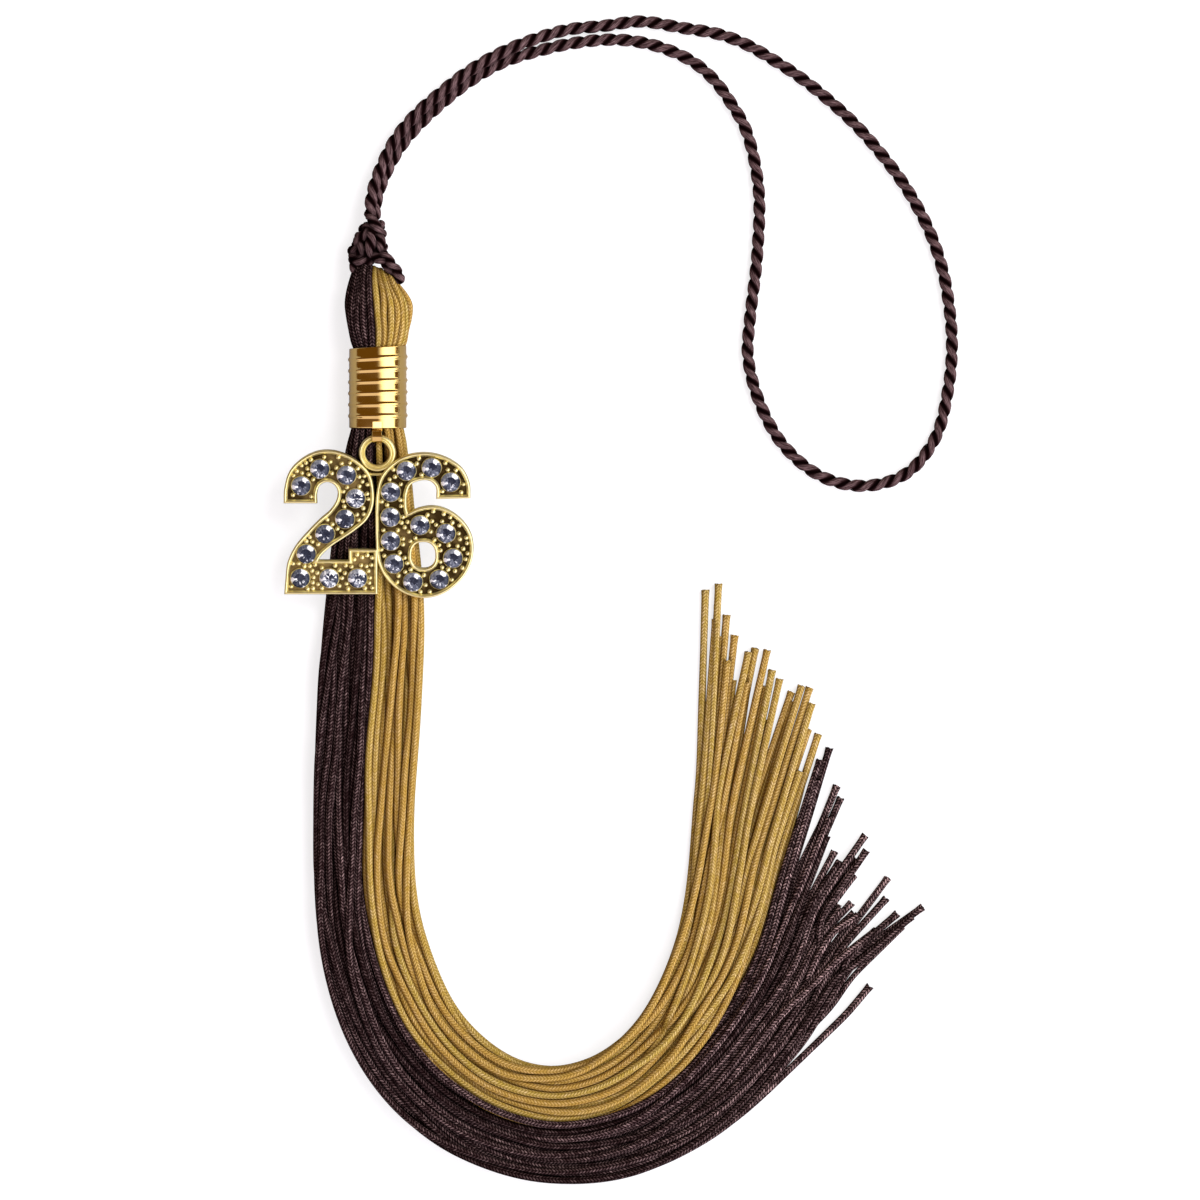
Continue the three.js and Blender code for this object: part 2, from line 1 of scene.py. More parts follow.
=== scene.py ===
# Graduation tassel lying on a white surface, seen from straight above: a twisted hanger cord and its knot,
# dark and gold chainette strands, a ribbed ferrule and a cast charm of two numerals set with rhinestones.
# Sizes are in millimetres and are turned into metres when a mesh is made.
import math
import random

import bpy
import numpy as np
from mathutils.geometry import tessellate_polygon
from mathutils.kdtree import KDTree
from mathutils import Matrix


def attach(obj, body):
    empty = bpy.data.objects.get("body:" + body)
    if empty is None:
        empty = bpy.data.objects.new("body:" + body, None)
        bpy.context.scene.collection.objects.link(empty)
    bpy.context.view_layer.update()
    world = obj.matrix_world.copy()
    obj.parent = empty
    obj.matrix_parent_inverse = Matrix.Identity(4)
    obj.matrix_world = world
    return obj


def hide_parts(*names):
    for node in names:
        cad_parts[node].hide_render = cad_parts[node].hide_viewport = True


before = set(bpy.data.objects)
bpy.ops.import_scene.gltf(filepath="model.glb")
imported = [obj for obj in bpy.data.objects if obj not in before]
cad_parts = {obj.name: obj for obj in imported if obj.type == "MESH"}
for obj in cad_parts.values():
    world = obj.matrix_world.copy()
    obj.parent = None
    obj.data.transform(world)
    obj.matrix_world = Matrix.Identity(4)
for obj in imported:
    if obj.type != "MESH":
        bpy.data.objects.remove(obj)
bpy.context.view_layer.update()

# Camera, floor and light. The tassel lies on a white surface and is photographed from straight above with a
# long lens. The left half of the sky is dim and the right half is a broad bright panel, which is what the
# ferrule mirrors, and a soft lamp at the upper right lays faint shadows to the lower left.
MM = 0.001
VIEW_MIDDLE = (35.4, -32.9)
VIEW_WIDTH = 192.0
VIEW_HEIGHT = 2.0  # the height at which the view is that wide
LENS = 120.0
SENSOR = 36.0


def added(thing):
    bpy.context.scene.collection.objects.link(thing)
    return thing


camera_data = bpy.data.cameras.new("camera")
camera_data.lens = LENS
camera_data.sensor_width = SENSOR
camera_data.clip_start = 0.01
camera = added(bpy.data.objects.new("camera", camera_data))
camera_height = VIEW_WIDTH * LENS / SENSOR + VIEW_HEIGHT
camera.location = (VIEW_MIDDLE[0] * MM, VIEW_MIDDLE[1] * MM, camera_height * MM)
bpy.context.scene.camera = camera
bpy.context.scene.view_settings.view_transform = "Standard"


def feed(tree, node, inputs):
    """Set a node's inputs, named or numbered, to plain values or link them to other nodes' outputs."""
    for name, value in inputs.items():
        if isinstance(value, bpy.types.NodeSocket):
            tree.links.new(value, node.inputs[name])
        else:
            node.inputs[name].default_value = value


def shader_node(tree, kind, inputs=None, **settings):
    """A node with its plain settings and its inputs."""
    node = tree.nodes.new(kind)
    for name, value in settings.items():
        setattr(node, name, value)
    feed(tree, node, inputs or {})
    return node


def maths(tree, operation, *values):
    """The result of one arithmetic node."""
    return shader_node(tree, "ShaderNodeMath", dict(enumerate(values)), operation=operation).outputs[0]


def product(tree, value, *factors):
    for factor in factors:
        value = maths(tree, "MULTIPLY", value, factor)
    return value


def remapped(tree, value, low, high, to_low=0.0, to_high=1.0, way="LINEAR"):
    """A value stretched from one range to another and held inside it."""
    ends = {"Value": value, "From Min": low, "From Max": high, "To Min": to_low, "To Max": to_high}
    return shader_node(tree, "ShaderNodeMapRange", ends, interpolation_type=way).outputs["Result"]


def blended(tree, share, first, second):
    """A colour between two colours."""
    return shader_node(tree, "ShaderNodeMix", {0: share, 6: first, 7: second}, data_type="RGBA").outputs[2]


def noise(tree, scale, detail, place=None):
    """Soft noise round one half, laid by a place's coordinates or by the surface's own."""
    inputs = {"Scale": scale, "Detail": detail}
    if place is not None:
        inputs["Vector"] = place
    return shader_node(tree, "ShaderNodeTexNoise", inputs).outputs["Fac"]


def new_material(name):
    """A material with a bare Principled shader, its node tree and the shader."""
    material = bpy.data.materials.new(name)
    material.use_nodes = True
    return material, material.node_tree, material.node_tree.nodes["Principled BSDF"]


def mesh_object(name, verts, faces, material, smooth=True):
    """A mesh object made from points in millimetres."""
    mesh = bpy.data.meshes.new(name)
    mesh.from_pydata((np.asarray(verts, float) * MM).tolist(), [], faces)
    mesh.update()
    if smooth:
        mesh.shade_smooth()
    else:
        mesh.shade_flat()
    mesh.materials.append(material)
    return added(bpy.data.objects.new(name, mesh))


FLOOR_HALF = 900.0
FLOOR_DROP = 0.02
FLOOR_WHITES = (0.35, 0.37)
FLOOR_GLOW = 0.74  # for the camera alone
floor_paper, floor_tree, floor_shader = new_material("floor_paper")
seen_directly = shader_node(floor_tree, "ShaderNodeLightPath").outputs["Is Camera Ray"]
feed(floor_tree, floor_shader, {
    "Base Color": remapped(floor_tree, noise(floor_tree, 600.0, 2.0), 0.3, 0.7, *FLOOR_WHITES),
    "Roughness": 0.9,
    "Specular IOR Level": 0.1,
    "Emission Color": (1, 1, 1, 1),
    "Emission Strength": product(floor_tree, seen_directly, FLOOR_GLOW),
})
floor_quarters = ((-1, -1), (1, -1), (1, 1), (-1, 1))
floor_corners = [(x * FLOOR_HALF, y * FLOOR_HALF, -FLOOR_DROP) for x, y in floor_quarters]
floor = mesh_object("floor", floor_corners, [(0, 1, 2, 3)], floor_paper)

SKY_PANEL = (2.9, 2.9, 3.2, 1)
SKY_DIM = (0.145, 0.074, 0.012, 1)
SKY_SOUTH = (0.95, 0.82, 0.98, 1)
sky = bpy.data.worlds.new("sky")
sky.use_nodes = True
bpy.context.scene.world = sky
sky_tree = sky.node_tree
sky_place = shader_node(sky_tree, "ShaderNodeTexCoord").outputs["Generated"]
east, north, _ = shader_node(sky_tree, "ShaderNodeSeparateXYZ", {0: sky_place}).outputs
panel_start = remapped(sky_tree, east, 0.0, 0.58, way="SMOOTHSTEP")
panel_end = remapped(sky_tree, east, 0.955, 0.94)
panel_share = product(sky_tree, panel_start, panel_end, remapped(sky_tree, north, 0.6, 0.45))
sky_south = blended(sky_tree, remapped(sky_tree, north, -0.12, -0.34), SKY_DIM, SKY_SOUTH)
sky_colour = blended(sky_tree, panel_share, sky_south, SKY_PANEL)
sky_seen = shader_node(sky_tree, "ShaderNodeLightPath").outputs["Is Camera Ray"]
sky_light = blended(sky_tree, sky_seen, sky_colour, (1, 1, 1, 1))
feed(sky_tree, sky_tree.nodes["Background"], {"Color": sky_light})

lamp_data = bpy.data.lights.new("soft_lamp", "AREA")
lamp_data.shape = "DISK"
lamp_data.size = 0.2
lamp_data.energy = 1.2
lamp = added(bpy.data.objects.new("soft_lamp", lamp_data))
lamp.location = (0.25, 0.17, 0.5)
lamp.visible_glossy = False
lamp_aim = lamp.constraints.new("TRACK_TO")
lamp_aim.target = floor
lamp_aim.track_axis = "TRACK_NEGATIVE_Z"
lamp_aim.up_axis = "UP_Y"

# Hanger cord: a limp rayon cord 2 mm thick, two plies laid left-handed. It leaves the knot doubled, opens
# into one long loop that hangs on the cap's button, and comes back to the knot beside itself.
CORD_RADIUS = 1.0
CORD_PITCH = 5.1
CORD_SIDES = 24
CORD_STEP = 0.32
CORD_END = 0.85  # how far a cut end is drawn in, as a share of the radius
PLY_GROOVE = 0.36  # how deep the grooves between the plies are, as a share of the radius
PLY_ANGLE = 0.45  # how much of the cord's twist its filaments keep
PAIR = [  # middle x, middle y, how far apart the legs lie, height of the upper leg, height of the lower leg
    (-1.0, 28.2, 0.6, 4.3, 2.1), (-0.6, 31.9, 0.75, 3.6, 1.4), (1.0, 36.4, 0.95, 3.0, 1.0),
    (3.4, 40.7, 1.2, 2.9, 1.0), (6.8, 44.6, 1.3, 2.9, 1.0), (10.8, 48.1, 1.2, 2.9, 1.0),
    (14.3, 50.8, 1.2, 2.9, 1.0), (19.7, 53.9, 1.3, 2.8, 1.0), (25.1, 55.9, 1.8, 2.4, 1.0),
    (30.6, 57.4, 2.3, 1.0, 1.0),
]
LOOP = [
    (36.0, 59.1), (41.9, 59.8), (48.5, 58.8), (54.7, 57.7), (58.9, 56.1), (63.1, 53.7), (67.4, 50.9),
    (71.6, 47.6), (76.1, 43.5), (80.2, 38.9), (84.5, 33.1), (88.2, 26.2), (90.3, 20.0), (91.4, 13.8),
    (91.8, 7.4), (91.1, 0.3), (89.1, -7.0), (84.5, -12.6), (77.9, -14.6), (70.9, -13.1), (64.8, -8.1),
    (60.8, -0.8), (59.1, 6.3), (59.4, 11.8), (60.6, 22.5), (60.8, 33.2), (58.8, 42.4), (56.6, 46.4),
    (53.8, 50.3), (50.5, 53.2), (46.2, 55.3), (41.8, 56.5), (37.2, 56.9),
]
UP = np.array([0.0, 0.0, 1.0])


def cord_leg(side):
    """One leg of the doubled stretch, +1 for the upper leg on the left and -1 for the lower on the right."""
    leg = []
    for i, (x, y, apart, upper, lower) in enumerate(PAIR):
        before, after = PAIR[max(i - 1, 0)], PAIR[min(i + 1, len(PAIR) - 1)]
        run_x, run_y = after[0] - before[0], after[1] - before[1]
        shift = side * apart / 2 / math.hypot(run_x, run_y)
        leg.append((x - run_y * shift, y + run_x * shift, upper if side > 0 else lower))
    return leg


def unit(vectors):
    return vectors / np.linalg.norm(vectors, axis=-1, keepdims=True)


def walked_along(path):
    """How far along a path each of its points lies."""
    return np.concatenate([[0.0], np.cumsum(np.linalg.norm(np.diff(path, axis=0), axis=1))])


def passed(a, b, leave, reach, t):
    """Where a point is at times t if it leaves one place and reaches another at the given times."""
    return (reach - t) / (reach - leave) * a + (t - leave) / (reach - leave) * b


def smooth_line(points, step):
    """Evenly spaced points on a smooth curve through given ones."""
    points = np.array(points, float)
    knots = np.vstack([2 * points[0] - points[1], points, 2 * points[-1] - points[-2]])
    dense = []
    for a, b, c, d in zip(knots, knots[1:], knots[2:], knots[3:]):
        tb = np.linalg.norm(b - a) ** 0.5
        tc = tb + np.linalg.norm(c - b) ** 0.5
        td = tc + np.linalg.norm(d - c) ** 0.5
        t = np.linspace(tb, tc, 20, endpoint=False)[:, None]
        bc = passed(b, c, tb, tc, t)
        abc = passed(passed(a, b, 0, tb, t), bc, 0, tc, t)
        bcd = passed(bc, passed(c, d, tc, td, t), tb, td, t)
        dense.append(passed(abc, bcd, tb, tc, t))
    dense = np.vstack(dense + [points[-1:]])
    walked = walked_along(dense)
    spaced = np.linspace(0, walked[-1], max(int(round(walked[-1] / step)), 2) + 1)
    return np.stack([np.interp(spaced, walked, dense[:, axis]) for axis in range(3)], axis=1)


def directions(path):
    return unit(np.gradient(path, axis=0))


def carried_frames(path):
    """Side and up directions carried along a path without turning about it."""
    along = directions(path)
    side = np.cross(UP, along[0])
    if np.linalg.norm(side) < 0.1:
        side = np.array([1.0, 0.0, 0.0])
    sides = []
    for direction in along:
        side = unit(side - direction * side.dot(direction))
        sides.append(side)
    return np.array(sides), np.cross(along, sides)


def skin(rows, sides, first=0, closed=False):
    """Faces between rings of points that follow each other, and from the last to the first where closed."""
    faces = []
    for i in range(rows if closed else rows - 1):
        row, above = first + i * sides, first + (i + 1) % rows * sides
        for k in range(sides):
            other = (k + 1) % sides
            faces.append((row + k, row + other, above + other, above + k))
    return faces


def tube(path, side, up, reach, tint, fibre_turn):
    """Points, faces, fibre coordinates and tints of one closed tube; reach gives the radius for each station
    and side, tint is one number or one for each side, and the fibres turn with fibre_turn."""
    count, sides = reach.shape
    turn = np.linspace(0, 2 * np.pi, sides, endpoint=False)
    rays = side[:, None, :] * np.cos(turn)[None, :, None] + up[:, None, :] * np.sin(turn)[None, :, None]
    points = path[:, None, :] + rays * reach[:, :, None]
    walked = walked_along(path)
    angle = turn[None, :] + fibre_turn[:, None]
    length = np.broadcast_to(walked[:, None], angle.shape)
    fibre = np.stack([np.cos(angle), np.sin(angle), length], axis=-1).reshape(-1, 3)
    verts = np.vstack([points.reshape(-1, 3), path[:1], path[-1:]])
    fibre = np.vstack([fibre, [[0, 0, 0]], [[0, 0, walked[-1]]]])
    faces = skin(count, sides)
    start, end, top = count * sides, count * sides + 1, (count - 1) * sides
    for k in range(sides):
        other = (k + 1) % sides
        faces.append((start, other, k))
        faces.append((end, top + k, top + other))
    tints = np.append(np.broadcast_to(tint, (count, sides)).ravel(), [0.0, 0.0])
    return verts, faces, fibre, tints


def gathered(parts):
    """Several pieces of mesh as one list of points and one of faces."""
    verts, faces = [], []
    for points, sides in parts:
        faces.extend(tuple(index + len(verts) for index in face) for face in sides)
        verts.extend(tuple(point) for point in points)
    return verts, faces


def store(thing, name, values, place="POINT"):
    """Keep numbers or vectors on an object's points or faces for its material to read."""
    values = np.asarray(values, np.float32)
    kind, field = ("FLOAT_VECTOR", "vector") if values.ndim > 1 else ("FLOAT", "value")
    thing.data.attributes.new(name, kind, place).data.foreach_set(field, values.ravel())


def yarn_object(name, tubes, material, sunk=None):
    """One object of many tubes, with the attributes that the yarn's material reads."""
    thing = mesh_object(name, *gathered([(verts, faces) for verts, faces, _, _ in tubes]), material)
    store(thing, "fibre", np.vstack([fibre for _, _, fibre, _ in tubes]))
    store(thing, "tint", np.concatenate([tints for _, _, _, tints in tubes]))
    if sunk is not None:
        store(thing, "crevice", np.concatenate(sunk))
    return thing


def twisted_tube(points, radius=CORD_RADIUS, pitch=CORD_PITCH, step=CORD_STEP):
    """The two-ply cord along given points. The columns of its mesh follow the plies."""
    path = smooth_line(points, step)
    side, up = carried_frames(path)
    turned = -2 * np.pi * walked_along(path) / pitch
    cosine, sine = np.cos(turned)[:, None], np.sin(turned)[:, None]
    side, up = side * cosine + up * sine, up * cosine - side * sine
    around = np.linspace(0, 2 * np.pi, CORD_SIDES, endpoint=False)
    groove = np.abs(np.sin(around)) ** 5
    reach = np.tile(radius * (1.0 - PLY_GROOVE * groove), (len(path), 1))
    reach[[0, -1]] *= CORD_END
    # The ridge mask, 1 on the plies' crests and 0 in the grooves, goes in as the tube's tint; the cord's
    # material paints its highlight and groove shade by it.
    return tube(path, side, up, reach, 1.0 - groove, PLY_ANGLE * turned)


def new_group(name, inputs, outputs):
    """An empty node group, its inputs and its sink. An input is a number with a plain value, or a vector."""
    group = bpy.data.node_groups.new(name, "ShaderNodeTree")
    for label, value in inputs.items():
        kind = "NodeSocketVector" if value is None else "NodeSocketFloat"
        socket = group.interface.new_socket(label, in_out="INPUT", socket_type=kind)
        if value is not None:
            socket.default_value = value
    for label in outputs:
        group.interface.new_socket(label, in_out="OUTPUT", socket_type="NodeSocketFloat")
    return group, group.nodes.new("NodeGroupInput").outputs, group.nodes.new("NodeGroupOutput")


def fibre_group():
    """Fine filaments that run along a yarn: a height and a mask from its fibre coordinates."""
    inputs = {"Fibre": None, "Fineness": 6.0}
    group, given, sink = new_group("yarn_filaments", inputs, ("Height", "Patches"))
    drawn_out = {0: given["Fibre"], 1: (1, 1, 0.12)}
    stretched = shader_node(group, "ShaderNodeVectorMath", drawn_out, operation="MULTIPLY").outputs[0]
    streaks = noise(group, given["Fineness"], 3.0, stretched)
    feed(group, sink, {"Height": streaks, "Patches": noise(group, 0.8, 2.0, given["Fibre"])})
    return group


def placed_group(tree, group, inputs):
    """The outputs of a node group placed in a material."""
    return shader_node(tree, "ShaderNodeGroup", inputs, node_tree=group).outputs


def attribute(tree, name, kind="Fac"):
    """A number, or with Vector a vector, that is kept on the mesh."""
    return shader_node(tree, "ShaderNodeAttribute", attribute_name=name).outputs[kind]


def relief(tree, height, distance):
    """A normal that follows a height."""
    inputs = {"Height": height, "Strength": 0.8, "Distance": distance}
    return shader_node(tree, "ShaderNodeBump", inputs).outputs["Normal"]


filaments = fibre_group()
# Painted light on the cord: its darkest colour is painted shade in the grooves between the plies and where
# the knot's turns press together, and its lightest is a painted highlight along each ply's crest, broken by
# the filament streaks.
CORD_SHADE = (0.0030, 0.0008, 0.0008, 1)
CORD_BODY = (0.017, 0.0065, 0.0068, 1)
CORD_HIGHLIGHT = (0.185, 0.113, 0.112, 1)

cord_yarn, cord_tree, cord_shader = new_material("twisted_cord")
cord_ridge = attribute(cord_tree, "tint")
cord_fibre = attribute(cord_tree, "fibre", "Vector")
cord_lines = placed_group(cord_tree, filaments, {"Fibre": cord_fibre, "Fineness": 8.0})
cord_streak = remapped(cord_tree, cord_lines["Height"], 0.41, 0.62)
cord_crest = remapped(cord_tree, cord_ridge, 0.6, 1.0)
cord_highlight_share = product(cord_tree, cord_crest, remapped(cord_tree, cord_streak, 0, 1, 0.12, 1.0))
cord_ply = blended(cord_tree, cord_highlight_share, CORD_BODY, CORD_HIGHLIGHT)
cord_groove_shaded = blended(cord_tree, remapped(cord_tree, cord_ridge, 0.1, 0.75), CORD_SHADE, cord_ply)
feed(cord_tree, cord_shader, {
    "Base Color": blended(cord_tree, attribute(cord_tree, "crevice"), cord_groove_shaded, CORD_SHADE),
    "Normal": relief(cord_tree, cord_lines["Height"], distance=0.00025),
    "Roughness": remapped(cord_tree, cord_streak, 0, 1, 0.62, 0.42),
    "Specular IOR Level": 0.0,
})

cord_points = cord_leg(1) + [(x, y, CORD_RADIUS) for x, y in LOOP] + cord_leg(-1)[::-1]
hanger = yarn_object("hanger_cord_twist", [twisted_tube(cord_points)], cord_yarn)
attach(hanger, "tassel")
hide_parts("hanger_cord")
cord_line = smooth_line(cord_points, 2.0) * MM

# Knot and eye: both legs of the hanger cord are tied in one tight knot, and the cord goes on from it as a
# small eye that the strands are folded over. The eye's right leg shows on top of the gold strands.
KNOT_HEIGHT = 3.15
KNOT_RADIUS = 0.88
KNOT_PITCH = 4.0
KNOT_STEP = 0.25
KNOT_TURNS = [  # middle x, middle y, half width, half height, slope of the turn
    (-1.0, 26.6, 1.35, 1.5, 0.25), (-1.35, 25.0, 1.85, 1.9, 0.3),
    (-1.7, 23.2, 2.4, 2.1, 0.16), (-1.95, 21.65, 2.0, 1.8, 0.08),
]
KNOT_FRONT = [
    [(-1.2, 28.4, 4.3), (-0.8, 27.4, 5.2), (-0.2, 26.6, 5.5), (0.3, 25.6, 5.1), (0.5, 24.6, 4.0)],
    [(-2.1, 26.7, 3.6), (-1.5, 26.3, 4.9), (-1.0, 25.0, 5.7), (-1.1, 23.6, 5.9), (-1.4, 22.3, 5.6),
     (-1.5, 21.5, 4.4)],
    [(-0.3, 25.8, 4.4), (0.3, 24.7, 5.2), (0.5, 23.5, 5.5), (0.3, 22.4, 5.3), (-0.1, 21.6, 4.4)],
    [(-3.5, 23.4, 4.2), (-3.0, 24.3, 5.1), (-2.1, 25.3, 5.4), (-1.0, 25.9, 4.9)],
    [(-3.4, 21.4, 3.4), (-3.0, 22.0, 4.7), (-2.6, 23.2, 5.3), (-2.7, 24.6, 4.7), (-3.0, 25.3, 3.6)],
    [(-4.0, 22.3, 3.6), (-3.5, 21.4, 4.7), (-2.4, 20.9, 5.2), (-1.3, 21.2, 5.0), (-0.5, 21.9, 4.2)],
    [(-1.0, 28.4, 2.2), (-1.3, 27.0, 2.6), (-1.6, 25.0, 3.0), (-1.6, 22.0, 3.1)],
    [(-1.3, 22.0, 4.4), (-0.5, 21.7, 5.4), (0.4, 21.3, 5.9), (1.3, 20.6, 6.0), (2.1, 19.7, 5.7),
     (2.6, 18.9, 4.9)],
]
EYE = [
    (-1.9, 23.4, 3.6), (-3.3, 22.0, 4.0), (-3.7, 20.4, 4.4), (-3.0, 18.2, 4.5), (-0.6, 17.2, 4.5),
    (1.8, 17.2, 4.3), (3.1, 17.7, 4.4), (3.5, 18.5, 5.2), (3.1, 19.4, 5.9), (2.4, 20.3, 6.3),
    (1.6, 21.3, 6.2), (0.8, 22.2, 5.4), (0.1, 23.2, 4.4),
]


def knot_turn(x, y, width, height, slope):
    """One turn of the cord round the knot, nearly closed."""
    ring = []
    for i in range(25):
        angle = -math.pi / 2 + i / 24 * 2 * math.pi * 0.97
        across = width * math.cos(angle)
        ring.append((x + across, y + slope * across, KNOT_HEIGHT + height * math.sin(angle)))
    return ring


# The crevice depths found here are painted into the yarns' colour as shade, where the knot's turns press
# together and between neighbouring strands.
def crevices(tubes, lines, open_at, reach):
    """How deep each point of some tubes lies in the gaps between them: 0 in the open, and 1 at reach from a
    neighbour's middle. Lines are the tubes' middle lines, and a gap opens at open_at from such a line."""
    owners, middles = [], []
    for owner, line in enumerate(lines):
        for share in (0.0, 0.33, 0.67):
            middles.append(line[:-1] + (line[1:] - line[:-1]) * share)
            owners.extend([owner] * (len(line) - 1))
    middles = np.vstack(middles)
    search = KDTree(len(middles))
    for index, middle in enumerate(middles):
        search.insert(middle, index)
    search.balance()
    sunk = []
    for owner, (points, *_) in enumerate(tubes):
        depths = np.zeros(len(points))
        for index, point in enumerate(points):
            near = [gap for _, other, gap in search.find_range(point, open_at) if owners[other] != owner]
            if near:
                depths[index] = min(1.0, (open_at - min(near)) / (open_at - reach))
        sunk.append(depths)
    return sunk


knot_lines = [knot_turn(*turn) for turn in KNOT_TURNS] + KNOT_FRONT + [EYE]
knot_tubes = [twisted_tube(line, KNOT_RADIUS, KNOT_PITCH, KNOT_STEP) for line in knot_lines]
knot_middles = [smooth_line(line, 2 * KNOT_STEP) for line in knot_lines]
knot_gaps = crevices(knot_tubes, knot_middles, open_at=1.3, reach=0.66)
knot = yarn_object("hanger_knot_turns", knot_tubes, cord_yarn, knot_gaps)
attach(knot, "tassel")
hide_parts("hanger_knot")

# Skirt: chainette strands about 1 mm thick, dark on the left and old gold on the right. They are bound in
# the ferrule, settle into a flat band on the surface, bend round and open into a fan with clean-cut ends.
AXIS_HEIGHT = 4.54
BUNDLE_RADIUS = 3.95
STRAND_RADIUS = 0.54
STRAND_SIDES = 10
STRAND_STEP = 1.1
STATION_STEP = 3.6
# Each section has x and y of the outer edge, of the split between the colours and of the inner edge, then
# how far the strands have settled and how far the outermost one comes away.
SECTIONS = [
    (-3.8, -3.4, -0.3, -3.4, 3.8, -3.4, 0, 0), (-3.85, -5.2, -0.3, -5.2, 3.85, -5.2, 0, 0),
    (-4.4, -6.3, -0.3, -6.3, 4.35, -6.3, 0, 0), (-4.8, -7.8, -0.2, -7.8, 4.5, -7.8, 0.1, 0),
    (-6.4, -17.0, -0.1, -17.0, 5.6, -17.0, 0.42, 0), (-8.5, -32.6, 0.0, -32.6, 7.2, -32.6, 0.88, 0),
    (-9.8, -48.0, -0.8, -48.0, 6.9, -48.0, 1, 0), (-10.4, -68.1, -2.0, -68.1, 5.6, -68.1, 1, 0),
    (-10.1, -82.0, -1.6, -81.5, 6.2, -81.0, 1, 0), (-8.0, -95.4, 0.8, -92.8, 8.6, -89.9, 1, 0),
    (-2.9, -107.4, 5.2, -102.6, 12.4, -98.0, 1, 0), (5.3, -117.2, 11.6, -109.9, 17.4, -103.5, 1, 0),
    (15.8, -123.2, 19.6, -114.7, 23.2, -106.9, 1, 0), (28.8, -126.0, 29.0, -116.7, 29.2, -107.5, 1, 0),
    (42.4, -124.4, 38.8, -114.6, 35.2, -105.5, 1, 0), (55.6, -117.8, 48.0, -108.2, 40.9, -100.8, 1, 0),
    (66.3, -108.3, 55.4, -99.6, 45.6, -92.6, 1, 0.5), (73.9, -100.9, 61.0, -89.2, 49.0, -81.0, 1, 1.7),
    (78.5, -96.2, 65.2, -74.6, 50.9, -60.5, 1, 2.0),
]
DARK_TIPS = [  # the strands' ends from the split outward
    (70.7, -58.5), (72.2, -56.6), (73.4, -62.6), (74.0, -64.6), (71.8, -70.6), (73.0, -73.2),
    (73.8, -74.8), (77.9, -70.6), (78.1, -73.0), (76.2, -76.9), (75.8, -81.4), (76.8, -83.4),
    (81.6, -77.4), (81.3, -80.7), (79.2, -86.3), (83.1, -83.1), (87.2, -82.1), (78.7, -94.8),
]
GOLD_TIPS = [  # the strands' ends from the split inward
    (70.4, -54.4), (68.8, -53.5), (69.3, -49.5), (69.0, -46.9), (67.7, -46.6), (66.1, -47.6),
    (64.2, -45.5), (63.0, -44.1), (62.2, -40.9), (60.3, -40.6), (59.2, -41.2), (57.0, -38.5),
    (55.7, -35.3), (54.4, -30.3), (52.3, -31.3),
]
STRAND_COUNTS = [26, 10, 22, 10]  # dark, thinner dark ones that run underneath, gold, thinner gold ones
UNDER_SHARE = 0.78
LONE_STRAND = STRAND_COUNTS[0] - 1  # the outermost dark strand, which comes away from the others
MAIN_CUT, UNDER_CUT = (1.2, 7.0), (3.0, 8.5)  # how far short of the fan's edge the other strands are cut
SETTLE_ROUNDS, PUSH_ROUNDS = 70, 25  # the last rounds only push the strands off each other
PULL, SINK, SINK_MORE, PUSH = 0.10, 0.05, 0.06, 0.4


def eased_rows(table, places):
    """Rows between the rows of a table, on smooth curves through its numbers."""
    padded = np.vstack([2 * table[0] - table[1], table, 2 * table[-1] - table[-2]])
    whole = np.minimum(places.astype(int), len(table) - 2)
    t = (places - whole)[:, None]
    a, b, c, d = (padded[whole + step] for step in range(4))
    return 0.5 * (2 * b + (c - a) * t + (2 * a - 5 * b + 4 * c - d) * t**2 + (3 * b - a - 3 * c + d) * t**3)


def band_stations():
    """Cross sections of the skirt at even distances along it, closer together under the ferrule."""
    table = np.array(SECTIONS)
    places = np.linspace(0, len(table) - 1, 800)
    walked = walked_along(eased_rows(table, places)[:, 2:4])
    close = np.arange(0, 3 * STATION_STEP, STATION_STEP / 3)
    even = np.linspace(close[-1], walked[-1], int((walked[-1] - close[-1]) / STATION_STEP) + 1)
    stops = np.concatenate([close[:-1], even])
    return eased_rows(table, np.interp(stops, walked, places)), stops


def settle_strands(across, height, wish, least, most, settled, edges, radii, under):
    """Strands of one cross section pulled to their wished places and down, and pushed off each other."""
    low, high = edges
    middle, half = (low + high) / 2, (high - low) / 2
    touch = radii[:, None] + radii[None, :]
    others = 1 - np.eye(len(across))
    for step in range(SETTLE_ROUNDS):
        if step < SETTLE_ROUNDS - PUSH_ROUNDS:
            across += (wish - across) * PULL
            height -= (SINK + SINK_MORE * under) * settled
        apart_x = across[:, None] - across[None, :]
        apart_z = height[:, None] - height[None, :]
        distance = np.hypot(apart_x, apart_z) + (1 - others) + 1e-6
        push = np.maximum(touch - distance, 0) * others * PUSH
        across += np.sum(apart_x / distance * push, axis=1)
        height += np.sum(apart_z / distance * push, axis=1)
        across = np.clip(np.clip(across, least, most), low + radii, high - radii)
        arch = np.sqrt(np.maximum(1 - ((across - middle) / half) ** 2, 0.0))
        lowest = radii + (1 - settled) * (AXIS_HEIGHT - radii) * (1 - arch)
        highest = AXIS_HEIGHT + (BUNDLE_RADIUS - radii) * arch + 10 * settled
        height = np.clip(height, lowest, np.maximum(highest, lowest))
    return across, height


def strand_thickness(walked):
    """A strand's radius: pinched in the ferrule, and fuller toward its free end."""
    freed = np.clip((walked - 2.0) / 8.0, 0, 1)
    return STRAND_RADIUS * (0.82 + 0.18 * freed + 0.11 * np.clip(walked / 230, 0, 1))


def wave(chance):
    """One slow wave in a strand's line: its rate, phase and size."""
    return chance.uniform(0.025, 0.085), chance.uniform(0, 6.3), chance.gauss(0, 0.62)


def swayed(waves, walked):
    """How far its waves move a strand aside at a distance along it."""
    return sum(size * math.sin(rate * walked + phase) for rate, phase, size in waves)


